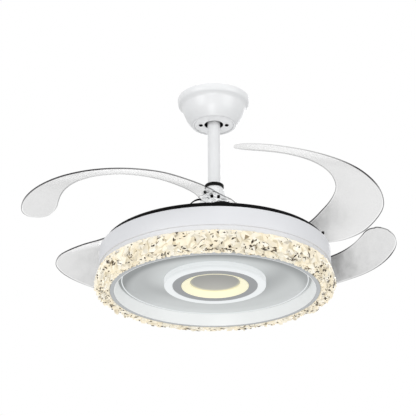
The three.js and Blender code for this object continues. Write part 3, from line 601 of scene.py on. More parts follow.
def lathe(name, outline, node, slot_name, body="hung_frame", steps=168, look=None, **how):
    """A turned piece that stands for a node."""
    mesh = turned(name, outline, steps, **how)
    return fit(name, mesh, finish(look or slot_name), body, [node])


def pivot():
    """Place of the first blade's pivot."""
    return Vector((PIVOT_RADIUS * math.cos(PIVOT_AZIMUTH), PIVOT_RADIUS * math.sin(PIVOT_AZIMUTH), 0))


def on_circle(centre, radius, angle):
    """Place on a circle round a centre, with the radius in millimetres."""
    return centre.x + radius * MM * math.cos(angle), centre.y + radius * MM * math.sin(angle)


FINISHES = {}


def finish(slot_name):
    """The finish of a material slot, made once."""
    if slot_name not in FINISHES:
        look = bpy.context.scene.fan_finishes
        white, black = look.white_paint, (0.0025, 0.0025, 0.0025)
        makers = {
            "white_paint": lambda: paint("white_paint", white, 0.36, 0.2),
            # This paint glows on faces that look down: painted light from below.
            "canopy_paint_painted_underglow": lambda: paint("canopy_paint_painted_underglow", white, 0.36, 0.2, lift=0.3),
            "white_shell": lambda: paint("white_shell", look.shell, 0.42, 0.1, 900, 0.00004),
            "black_plastic": lambda: plastic("black_plastic", black, 0.45, shine=0.06),
            "black_rubber": lambda: rubber("black_rubber", black),
            "steel": lambda: metal("zinc_steel", (0.60, 0.61, 0.63), 0.32),
            "dark_steel": lambda: metal("dark_steel", (0.012, 0.012, 0.012), 0.5),
            "silver": lambda: metal("silver_rim", (0.46, 0.475, 0.485), 0.42, (40, 40, 1)),
            "grey_paint": lambda: pan_paint_with_painted_shade("grey_paint", look.pan_painted_shade, look.pan_middle, 0.5),
            "opal": lambda: opal("opal_white", look.opal, (0.96, 0.99, 1.0), 0.6),
            # The wall's glow is painted light that brightens it.
            "wall": lambda: opal("wall_white", look.wall, (0.98, 1.0, 0.99), 0.25),
            "warm_glow": lambda: opal("warm_glow", look.warm_light, look.warm_light, 0.2),
            "cream_paint": lambda: disc_paint_with_painted_light("centre_disc", (0.42, 0.415, 0.39), look.warm_light),
            "crystal": lambda: crystal("crystal", look.crystal_light, look.crystal_shade, 0.92),
            # The clear ring's glow is painted light.
            "clear_plastic": lambda: opal("clear_ring", look.crystal_light, look.crystal_light, 0.2),
            "clear_blade": lambda: clear_plastic(
                "clear_blade", look.blade, look.blade_edge_shade, look.blade_haze
            ),
            "clear_root": lambda: clear_root("clear_root", (0.92, 0.92, 0.92)),
            "grey_hoop": lambda: paint("grey_hoop", (0.36, 0.37, 0.38), 0.45, 0.0, 500),
            "copper": lambda: winding("copper_wire", (0.63, 0.30, 0.14)),
            "laminations": lambda: laminations("core_sheets", (0.3, 0.31, 0.32)),
            "magnet": lambda: plastic("ferrite", (0.05, 0.05, 0.055), 0.5),
            "circuit": lambda: board("circuit_board", (0.03, 0.16, 0.08)),
            "box_plastic": lambda: plastic("box_plastic", (0.72, 0.72, 0.70), 0.5),
            "lead_sleeve": lambda: rubber("lead_sleeve", (0.6, 0.6, 0.58)),
        }
        FINISHES[slot_name] = makers[slot_name]()
    return FINISHES[slot_name]


# ---------------------------------------------------------------- what a user may change


class FanSizes(bpy.types.PropertyGroup):
    """Sizes of the surfaces that the frame leaves open."""

    crystal_count: IntProperty(
        name="Crystals in a row", description="Cut crystals round one row of the lamp's band",
        default=88, min=24, max=140,
    )
    crystal_size: FloatProperty(
        name="Crystal size", description="Half the length of one cut crystal",
        default=0.0088, min=0.004, max=0.014, unit="LENGTH",
    )
    blade_camber: FloatProperty(
        name="Blade camber", description="How far the middle of a blade arches over its edges",
        default=0.0006, min=0.0, max=0.008, unit="LENGTH",
    )
    blade_thickness: FloatProperty(
        name="Blade thickness", description="Thickness in the middle of a blade",
        default=0.002, min=0.001, max=0.003, unit="LENGTH",
    )
    screw_radius: FloatProperty(
        name="Screw radius", description="Radius of the heads of the blade screws",
        default=0.0032, min=0.002, max=0.005, unit="LENGTH",
    )


def color_property(name, words, value):
    return FloatVectorProperty(
        name=name, description=words, subtype="COLOR", size=3, min=0, max=1, default=value
    )


class FanFinishes(bpy.types.PropertyGroup):
    """Colours of the fan."""

    white_paint: color_property("White paint", "Canopy, rod and cover", (0.76, 0.765, 0.77))
    shell: color_property("Shell", "Drum of the lamp", (0.665, 0.67, 0.69))
    # The pan's painted shade: the colour it takes where the rim and the middle ring would shade it.
    pan_painted_shade: color_property("Pan edge", "Pan inside the lamp, near its rim", (0.36, 0.375, 0.375))
    pan_middle: color_property("Pan middle", "Pan inside the lamp, near the rings", (0.745, 0.765, 0.76))
    opal: color_property("Opal", "Milky rings of the lamp", (0.27, 0.28, 0.28))
    wall: color_property("Wall", "Round wall of the lamp's recess", (0.65, 0.66, 0.655))
    warm_light: color_property("Warm light", "Light of the lamp's cone", (1.0, 0.95, 0.68))
    # Lit crystal and shaded crystal are the painted light and painted shade of the crystals.
    crystal_light: color_property("Lit crystal", "Crystals lit from behind", (0.69, 0.645, 0.535))
    crystal_shade: color_property("Shaded crystal", "Dark facets", (0.05, 0.037, 0.022))
    blade: color_property("Blade", "Clear plastic of the blades", (0.60, 0.60, 0.595))
    # Colour of the painted shade along the blades' edges.
    blade_edge_shade: color_property("Blade rim", "Edges of the blades", (0.02, 0.018, 0.02))
    blade_haze: FloatProperty(
        name="Blade haze", description="How much a blade hides what is behind it",
        default=0.17, min=0.0, max=1.0, subtype="FACTOR",
    )


# ---------------------------------------------------------------- operators


class Maker(bpy.types.Operator):
    """Base of the fan's operators."""

    bl_options = {"REGISTER", "UNDO"}

    def execute(self, context):
        self.make(context.scene.fan_sizes)
        return {"FINISHED"}


class FAN_OT_ceiling(Maker):
    """Makes the canopy, its screws and the ceiling plate with the ball's seat"""

    bl_idname = "fan.ceiling"
    bl_label = "Canopy and bracket"

    def make(self, sizes):
        outline = [
            (77.5, 0, 0.4), (77.2, -8, 3), (75.8, -13.5, 4), (71.4, -17, 4), (68.0, -20.5, 4),
            (66.6, -25, 4), (64.6, -32, 6), (61.0, -41, 6), (55.4, -50.5, 6), (47.4, -61.4, 4),
            (44.6, -62.6, 1.6), (42.2, -61.8, 1), (41, -60.2, 0.8),
            (20.1, -60, 0.8), (20.1, -58.5, 0.3), (41.2, -58.5, 2), (46, -59, 2), (53.6, -49.6, 6),
            (59.2, -40.4, 6), (62.9, -31.4, 6), (65.0, -24.6, 4), (66.6, -19.4, 3),
            (70, -15.6, 2), (74.2, -12.6, 1.5), (75.7, -7, 2), (76, 0, 0.4),
        ]
        # The canopy's underside gets painted light from its paint.
        lathe("canopy_bell", outline, "canopy", "white_paint", "ceiling_side", look="canopy_paint_painted_underglow")
        end = span("canopy")[2]
        head = [
            (0, end - 2.6), (1.1, end - 2.6, 0.2), (1.3, end - 1.6), (1.6, end - 1.6),
            (1.8, end - 2.6, 0.3), (3.8, end - 2.2, 0.8), (4.5, end - 0.3, 0.3), (2, end - 0.3),
            (2, end + 13), (0, end + 13),
        ]
        for out, name in ((-27.7, "left"), (27.7, "right")):
            lathe(f"canopy_screw_{name}_turned", head, f"canopy_screw_{name}", "black_plastic",
                  "ceiling_side", 40, closed=False, centre=(out * MM, 0))
        self.bracket()

    def bracket(self):
        """The ceiling plate with its holes, its two legs and the seat for the ball."""
        bottom = span("hanger_bracket")[2]
        seat = [
            (25.6, bottom + 6.5, 0.4), (36, bottom + 6.5, 1), (36, bottom, 1), (19.4, bottom, 0.4),
            (22.6, bottom + 3.2, 1),
        ]
        disc = turned("plate", [(0, 0), (62, 0, 0.5), (62, -2, 0.5), (0, -2)], 120, False)
        for x, y, radius in ((50, 0, 3), (-50, 0, 3), (0, -24, 7)):
            hole = [(0, 5), (radius, 5), (radius, -5), (0, -5)]
            disc = cut_away(disc, turned("hole", hole, 40, False, (x * MM, y * MM)))
        legs = [
            block((side * 34.75 - 1.25, -12, bottom + 4.5), (side * 34.75 + 1.25, 12, -1), 0.4)
            for side in (-1, 1)
        ]
        tongue = block((-34.5, -2, -36), (-21.5, 2, -32), 0.3)
        mesh = joined("hanger_plate", [disc, turned("seat", seat, 120), *legs, tongue])
        fit("hanger_plate", mesh, finish("dark_steel"), "ceiling_side", ["hanger_bracket"])


class FAN_OT_rod(Maker):
    """Makes the rod, the black ring on it and the white cover below"""

    bl_idname = "fan.rod"
    bl_label = "Rod and cover"

    def make(self, sizes):
        r, high, low = span("downrod")
        tube = [(r, high, 0.5), (r, low, 0.5), (r - 2, low, 0.4), (r - 2, high, 0.4)]
        lathe("rod_tube", tube, "downrod", "white_paint", steps=96)
        bore = r + 0.15
        r, high, low = span("seal_ring")
        lip = [
            (r, high, 1.6), (r, low - 2.8, 0.6), (18.9, low - 2.8, 0.4), (18.2, low, 0.6),
            (bore, low, 0.4), (bore, high, 1.2),
        ]
        lathe("seal_ring_lip", lip, "seal_ring", "black_rubber", steps=96)
        r, high, low = span("yoke_cover")
        cover = [
            (bore, high), (17, high, 1), (18.6, high - 3.4, 3), (26.5, high - 24, 8),
            (33, high - 42, 8), (39.5, high - 57, 8), (r, low, 0.6), (45.2, low, 0.3),
            (37.8, high - 57, 8), (31.4, high - 42, 8), (24.9, high - 24, 8), (17.2, high - 4, 2),
            (bore, high - 1.5),
        ]
        lathe("motor_cover", cover, "yoke_cover", "white_paint")


class FAN_OT_motor(Maker):
    """Makes the turning housing of the motor and the black tray that carries the blades"""

    bl_idname = "fan.motor"
    bl_label = "Motor housing and tray"

    def make(self, sizes):
        flange, high, low = span("rotor_housing")
        r = span("magnet_ring")[0] + 2.3
        outline = [
            (20.3, high, 0.4), (24.3, high, 0.8), (25.3, high - 8.3, 1), (r - 9, high - 10.3, 9),
            (r, high - 19, 9), (r, low + 2, 2), (flange, low + 2, 1), (flange, low, 0.5),
            (r - 2, low, 0.3), (r - 2, high - 19.5, 7), (r - 10, high - 12.3, 7),
            (16.5, high - 11.3, 0.4), (16.5, high - 9.3, 0.4), (20.3, high - 9.3, 0.3),
        ]
        lathe("motor_drum", outline, "rotor_housing", "white_paint", "rotor")
        self.tray()
        self.housings()

    def tray(self):
        """The black plate with its rim, its collar and the low wall that guides the gear ring."""
        r, _, rim = span("blade_tray")
        z, guide = TRAY_TOP / MM, 139.7
        outline = [
            (16.5, z - 8, 0.3), (24.3, z - 8, 0.6), (24.3, z - 2, 1), (r - 2, z - 2, 0.6),
            (r - 2, rim, 0.4), (r, rim, 0.6), (r, z, 1.4), (guide, z), (guide, z + 9, 0.5),
            (guide - 2.6, z + 9, 0.5), (guide - 2.6, z, 0.6), (24.3, z, 0.6), (24.3, z + 3, 0.6),
            (20.3, z + 3, 0.4), (20.3, z - 6.8, 0.3), (16.5, z - 6.8, 0.3),
        ]
        lathe("tray_plate", outline, "blade_tray", "black_plastic", "rotor")

    def housings(self):
        """A cup over each pivot, open where the gear ring passes."""
        z = TRAY_TOP / MM
        inner, outer, high = 23.7, 25.5, z + 14.6
        cup = [
            (inner, z + 0.3, 0.3), (outer, z + 0.3, 0.3), (outer, high, 1.8), (8.7, high, 0.4),
            (8.7, high - 2, 0.3), (inner, high - 2, 1),
        ]
        window = [(120, z - 3), (158, z - 3), (158, z + 8.2), (120, z + 8.2)]
        mesh = cut_away(turned("cup", cup, 96, centre=pivot()[:2]), turned("window", window, 160))
        for k in range(BLADES):
            fit(f"pivot_cup_{k + 1}", quarter(mesh, k), finish("black_plastic"), "rotor",
                [f"pivot_housing_{k + 1}"])


# Points of the blade in millimetres from its pivot: outer edge and inner edge, height above the tray.
BLADE_STATIONS = (
    ((28, -10, 17.5), (27, 8, 19.5)), ((20, -28, 16.5), (10, 27, 23.5)),
    ((6, -45, 16), (-15, 27, 27)), ((-7, -67, 13), (-36, 10, 31)),
    ((-23, -92, 11.5), (-54, -16, 37)), ((-61, -126, 12.5), (-92, -39, 46)),
    ((-109, -148, 18), (-136, -56, 52)), ((-165, -157, 21.5), (-184, -62, 56)),
    ((-216, -149, 25.5), (-226, -53, 59)), ((-263, -130, 29), (-259, -36, 61)),
    ((-311, -98, 32), (-287, -10, 63)), ((-352, -56, 33.5), (-307, 21, 64.5)),
    ((-382, -4, 36), (-319, 51, 65.2)), ((-398, 51, 39.5), (-327, 81, 65.3)),
    ((-400, 92, 43.5), (-333, 108, 64.5)), ((-389, 125, 49.5), (-342, 127, 62)),
    ((-371, 140, 55.5), (-356, 139, 58)),
)
BLADE_SETS = (0, 0, 0, 4)  # how far each blade stands round on its hub, in degrees
# How each blade looks: place along it, strength of its outer and inner lines, darkening at those edges.
BLADE_LOOKS = (
    ((0, 0.5, 0.2, -0.5, -0.5), (0.215, 0.6, 0.25, -0.5, -0.5), (0.265, 0.7, 0.35, 0.3, 0.35),
     (0.37, 0.75, 0.4, 0.75, 0.75), (0.45, 0.8, 0.4, 0.9, 0.9), (0.53, 1, 0.35, 0.9, 0.9),
     (0.62, 1, 0.4, 0.5, 0.5), (0.72, 0.9, 0.5, 0.25, 0.3), (0.8, 0.5, 0.45, 0.25, 0.25),
     (0.88, 0.35, 0.3, 0.2, 0.2), (0.94, 0.1, 0.1, 0.2, 0.2), (1, 0.05, 0.1, 0.2, 0.2)),
    ((0, 0.1, 0.9, 0.6, 0.6), (0.16, 0.1, 0.9, 0.9, 0.7), (0.2, 0.15, 0.9, 0.3, 0.9),
     (0.26, 0.25, 0.9, 0, 0.9), (0.33, 0.6, 0.75, 0, 0.7), (0.4, 0.6, 0.45, 0, 0.3),
     (0.52, 0.5, 0.35, 0.05, 0.15), (0.58, 0.95, 0.35, 0.15, 0.15), (0.64, 1, 0.45, 0.3, 0.3),
     (0.69, 0.55, 0.45, 0.35, 0.45), (0.76, 0.3, 0.45, 0.3, 0.35), (0.86, 0.15, 0.4, 0.2, 0.3),
     (1, 0.05, 0.1, 0.1, 0.1)),
    ((0, 0.2, 1, 1, 1), (0.6, 0.2, 1, 0.85, 1.4), (0.65, 0.3, 0.9, 0.6, 0.9), (0.7, 0.4, 0.6, 0.5, 0.5),
     (0.75, 0.6, 0.4, 0.4, 0.45), (0.79, 0.85, 0.5, 0.35, 0.4), (0.84, 0.5, 0.7, 0.35, 0.35),
     (0.89, 0.25, 0.8, 0.3, 0.35), (0.95, 0.5, 0.8, 0.3, 0.3), (1, 0.75, 0.8, 0.3, 0.3)),
    ((0, 0.9, 0.4, 0.3, 0.3), (0.3, 1, 0.3, 0.2, 0.4), (0.36, 0.8, 0.4, 0.2, 0.6),
     (0.41, 0.45, 0.6, 0.2, 0.6), (0.5, 0.55, 0.6, 0.25, 0.6), (0.56, 0.45, 0.5, 0.3, 0.6),
     (0.64, 0.2, 0.4, 0.5, 0.7), (1, 0.3, 0.3, 0.4, 0.4)),
)


def look_at(rows, place):
    """The numbers of a blade's look at a place along it."""
    for first, second in zip(rows, rows[1:]):
        if place <= second[0]:
            share = (place - first[0]) / (second[0] - first[0])
            return [a + (b - a) * share for a, b in zip(first[1:], second[1:])]
    return rows[-1][1:]


def along(points, t):
    """Point at t from 0 to 1 on a smooth curve through the points, evened out by their distances."""
    place = t * (len(points) - 1)
    i = min(int(place), len(points) - 2)
    share = place - i
    first, second = points[i], points[i + 1]
    before = points[i - 1] if i else 2 * first - second
    after = points[i + 2] if i + 2 < len(points) else 2 * second - first
    d0, d1, d2 = ((b - a).length ** 0.5 for a, b in ((before, first), (first, second), (second, after)))
    start = (first - before) / d0 - (second - before) / (d0 + d1) + (second - first) / d1
    end = (second - first) / d1 - (after - first) / (d1 + d2) + (after - second) / d2
    start, end = start * d1, end * d1
    return (
        first + start * share + (3 * (second - first) - 2 * start - end) * share ** 2
        + (2 * (first - second) + start + end) * share ** 3
    )


def blade_rows(steps):
    """Pairs of edge points along the blade with their places on it, and round ends."""
    outer = [Vector(station[0]) for station in BLADE_STATIONS]
    inner = [Vector(station[1]) for station in BLADE_STATIONS]
    places = [0.968 * i / steps for i in range(steps + 1)]
    rows = [(along(outer, place), along(inner, place), place) for place in places]
    caps = []
    for end, near in ((0, 1), (-1, -2)):
        first, second, place = rows[end]
        middle, half = (first + second) / 2, (first - second) / 2
        outward = (middle - (rows[near][0] + rows[near][1]) / 2).normalized()
        cap = []
        for step in range(1, 11):
            angle = step * math.pi / 20
            push = outward * (0.5 * half.length * math.sin(angle))
            width = half * max(math.cos(angle), 0.02)
            cap.append((middle + push + width, middle + push - width, place))
        caps.append(cap)
    return caps[0][::-1] + rows + caps[1]


def blade_mesh(sizes, k):
    """One clear blade, and for its finish how near each point is to its edges and what it is like."""
    rows = blade_rows(150)
    across = 24
    corners = []
    names = ("outer_line", "inner_line", "smoke", "outer_gap", "inner_gap", "upper")
    values = {name: [] for name in names}
    shares = [0.5 - 0.5 * math.cos(math.pi * j / across) for j in range(across + 1)]
    base = pivot() / MM + Vector((0, 0, TRAY_TOP / MM))
    half = sizes.blade_thickness / MM / 2
    camber = sizes.blade_camber / MM
    for side in (1, -1):
        for i, (outer, inner, place) in enumerate(rows):
            width = (inner - outer).length
            ahead = rows[min(i + 1, len(rows) - 1)]
            behind = rows[max(i - 1, 0)]
            run = (ahead[0] + ahead[1] - behind[0] - behind[1]).normalized()
            up = (outer - inner).cross(run).normalized()
            if up.z < 0:
                up = -up
            outer_line, inner_line, outer_darkening, inner_darkening = look_at(BLADE_LOOKS[k], place)
            end_fade = min(1.0, min(i, len(rows) - 1 - i) / 12)
            for share in shares:
                edge = min(share, 1 - share) * width
                bead = 0.7 * (outer_line if share < 0.5 else inner_line) * max(0.0, 1 - edge / 3)
                round_off = math.sqrt(max(0.0, 1 - (1 - min(1.0, edge / 0.8)) ** 2))
                lift = camber * 4 * share * (1 - share) * min(1.0, width / 90) * end_fade
                point = outer.lerp(inner, share) + up * (side * half * (1 + bead) * round_off + lift)
                corners.append((point + base) * MM)
                smoke = outer_darkening + (inner_darkening - outer_darkening) * share
                gaps = min(1.0, share * width / 10), min(1.0, (1 - share) * width / 10)
                # The last value marks the upper face, which the finish paints darker as shade.
                for name, value in zip(names, (outer_line, inner_line, smoke, *gaps, max(side, 0))):
                    values[name].append(value)
    row = across + 1
    sheet = row * len(rows)
    faces = []
    for i in range(len(rows) - 1):
        for j in range(across):
            a = i * row + j
            faces.append((a, a + 1, a + row + 1, a + row))
            faces.append((sheet + a, sheet + a + row, sheet + a + row + 1, sheet + a + 1))
    last = (len(rows) - 1) * row
    for start in (0, last):
        for j in range(across):
            a = start + j
            faces.append((a, sheet + a, sheet + a + 1, a + 1))
    mesh = bpy.data.meshes.new("blade")
    mesh.from_pydata([tuple(corner) for corner in corners], [], faces)
    for name, numbers in values.items():
        mesh.attributes.new(name, "FLOAT", "POINT").data.foreach_set("value", numbers)
    close_up(mesh, 60, 2e-6)
    return mesh


class FAN_OT_blades(Maker):
    """Makes the clear blades, their roots on the pivots and the screws through them"""

    bl_idname = "fan.blades"
    bl_label = "Blades"

    def make(self, sizes):
        blades = [blade_mesh(sizes, k) for k in range(BLADES)]
        shape = bmesh.new()
        shape.from_mesh(blades[0])
        tree = BVHTree.FromBMesh(shape)
        shape.free()
        wedge, boss = self.root(tree)
        screws = self.screws(tree, sizes.screw_radius / MM)
        rest = self.rest()
        for k in range(BLADES):
            body = f"blade_unit_{k + 1}"
            stand = BLADE_SETS[k]
            fit(f"blade_rest_{k + 1}", quarter(rest, k), finish("black_rubber"), "rotor", [])
            fit(f"clear_blade_{k + 1}", quarter(blades[k], k, stand), finish("clear_blade"), body,
                [f"blade_{k + 1}"])
            fit(f"blade_root_{k + 1}", quarter(wedge, k, stand), finish("clear_root"), body,
                [])
            fit(f"blade_boss_{k + 1}", quarter(boss, k), finish("black_plastic"), body,
                [f"blade_hub_{k + 1}"])
            fit(f"blade_screws_{k + 1}", quarter(screws, k, stand), finish("black_plastic"), body,
                [])

    def rest(self):
        """A small rubber hook on the tray beside each pivot that a blade's edge can lie on."""
        centre = pivot() + Vector((0, 0, TRAY_TOP))
        line = [
            (-61, -39, 0.4), (-56, -38, 5.2), (-51, -37, 9.0), (-45, -36, 11.6), (-40.5, -35, 12.4),
            (-38.5, -34.5, 11.2),
        ]
        corners, faces = [], []
        for x, y, z in line:
            thick = 1.0 + 0.12 * z
            corners.extend(
                centre + Vector((x, y + side * 2.2, z + rise)) * MM
                for side, rise in ((-1, 0), (1, 0), (1, thick), (-1, thick))
            )
        for i in range(len(line) - 1):
            for j in range(4):
                a, b = 4 * i + j, 4 * i + (j + 1) % 4
                faces.append((a, b, b + 4, a + 4))
        last = 4 * len(line) - 4
        faces += [(0, 1, 2, 3), (last, last + 1, last + 2, last + 3)]
        shape = bmesh.new()
        shape.from_mesh(mesh_of("rest", corners, faces))
        bmesh.ops.bevel(shape, geom=shape.edges, offset=0.3 * MM, segments=2, profile=0.5, affect="EDGES")
        return settled("rest", shape)

    def face_height(self, tree, x, y, up):
        """Height of the blade's lower face, looked for upwards, or of its upper one, at a place."""
        start = Vector((x, y, -1 if up else 0))
        hit = tree.ray_cast(start, Vector((0, 0, 1 if up else -1)))
        return hit[0].z

    def root(self, tree):
        """The wedge that pitches the blade and the boss in the pivot housing."""
        centre = pivot()
        low = TRAY_TOP + 15.2 * MM
        rings = [0, 6, 12, 16, 18.2, 19]
        turns = 72
        corners, faces = [], []
        for level in ("low", "high"):
            for radius in rings:
                for k in range(turns):
                    x, y = on_circle(centre, radius, 2 * math.pi * k / turns)
                    z = low if level == "low" else self.face_height(tree, x, y, True) - 0.1 * MM
                    if level == "high" and radius == rings[-1]:
                        z -= 0.8 * MM
                    corners.append((x, y, z))
        sheet = turns * len(rings)
        for ring in range(len(rings) - 1):
            for k in range(turns):
                a, b = ring * turns + k, ring * turns + (k + 1) % turns
                faces.append((a, b, b + turns, a + turns))
                faces.append((sheet + a, sheet + a + turns, sheet + b + turns, sheet + b))
        outer = (len(rings) - 1) * turns
        for k in range(turns):
            a, b = outer + k, outer + (k + 1) % turns
            faces.append((a, b, sheet + b, sheet + a))
        wedge = mesh_of("wedge", corners, faces)
        start, end = TRAY_TOP / MM + 1, low / MM + 0.4
        boss = [(5.3, start, 0.3), (8.3, start, 0.4), (8.3, end, 0.2), (5.3, end, 0.2)]
        return wedge, joined("boss", [turned("tube", boss, 64, centre=centre[:2]), self.pinion()])

    def pinion(self):
        """The wheel on the boss, with teeth only where it runs on the gear ring."""
        teeth, cut_teeth = 21, 6
        root, tip, bore_radius = 18.6, 22.8, 8.2
        centre = pivot()
        facing = PIVOT_AZIMUTH + math.pi
        corners = []
        pitch = 2 * math.pi / teeth
        for tooth in range(teeth):
            middle = facing + (tooth - 0.5) * pitch
            end = tip if tooth < cut_teeth else root
            for radius, turn in ((root, -0.42), (end, -0.14), (end, 0.14), (root, 0.42)):
                corners.append(on_circle(centre, radius, middle + turn * pitch * 0.9))
        low, high = TRAY_TOP + 1 * MM, TRAY_TOP + 7 * MM
        count = len(corners)
        rim = [(x, y, z) for z in (low, high) for x, y in corners]
        bore = [
            (*on_circle(centre, bore_radius, 2 * math.pi * i / count), z)
            for z in (low, high) for i in range(count)
        ]
        start = min(range(count), key=lambda i: (Vector(bore[i]) - Vector(rim[0])).length)
        faces = []
        inner = 2 * count
        for i in range(count):
            j = (i + 1) % count
            p, q = (i + start) % count, (j + start) % count
            faces.append((i, j, count + j, count + i))
            faces.append((inner + p, inner + count + p, inner + count + q, inner + q))
            faces.append((i, inner + p, inner + q, j))
            faces.append((count + i, count + j, inner + count + q, inner + count + p))
        return mesh_of("pinion", rim + bore, faces, 25)

    def screws(self, tree, radius):
        """Three pan-head screws through the blade, with a nut under each."""
        heads = []
        for x, y in ((-5, -37), (-18, -34), (-31, -47)):
            spot = pivot() + Vector((x, y, 0)) * MM
            face = self.face_height(tree, spot.x, spot.y, False) / MM
            outline = [
                (0, face + 1.2), (0.8, face + 1.2), (1.0, face + 2, 0.2), (radius - 0.9, face + 2, 0.8),
                (radius, face + 0.9, 0.6), (radius, face - 0.3), (1.4, face - 0.3), (1.4, face - 1.7),
                (radius - 0.2, face - 1.7, 0.3), (radius - 0.2, face - 3.4, 0.5), (0, face - 3.6),
            ]
            heads.append(turned("screw", outline, 36, False, spot[:2]))
        return joined("screws", heads)


class FAN_OT_shell(Maker):
    """Makes the white drum of the lamp and the silver rim below"""

    bl_idname = "fan.shell"
    bl_label = "Lamp shell"

    def make(self, sizes):
        r, high, low = span("lamp_shell")
        side, neck, wall = high - 38.4, r - 3.5, 1.5
        drum = [
            (10.3, high, 0.3), (r, high, 3.6), (r, side, 0.7), (neck + 0.4, side - 0.7, 0.5),
            (neck, side - 1.4, 0.5), (neck, low, 0.4), (neck - wall, low, 0.3),
            (neck - wall, side + wall, 0.5), (r - wall, side + wall, 0.5), (r - wall, high - wall, 3.6),
            (10.3, high - wall, 0.3),
        ]
        lathe("lamp_drum", drum, "lamp_shell", "white_shell", steps=LAMP_STEPS)
        r, _, z = span("bottom_rim")
        inner = 206
        rim = [
            (inner, z + 0.2, 0.3), (inner + 1.2, z, 0.6), (r, z, 1.2), (r, z + 4.2, 0.4),
            (r - 1.5, z + 4.2, 0.3), (r - 1.5, z + 1.6, 0.5), (inner, z + 1.6, 0.3),
        ]
        lathe("silver_rim", rim, "bottom_rim", "silver", steps=LAMP_STEPS)


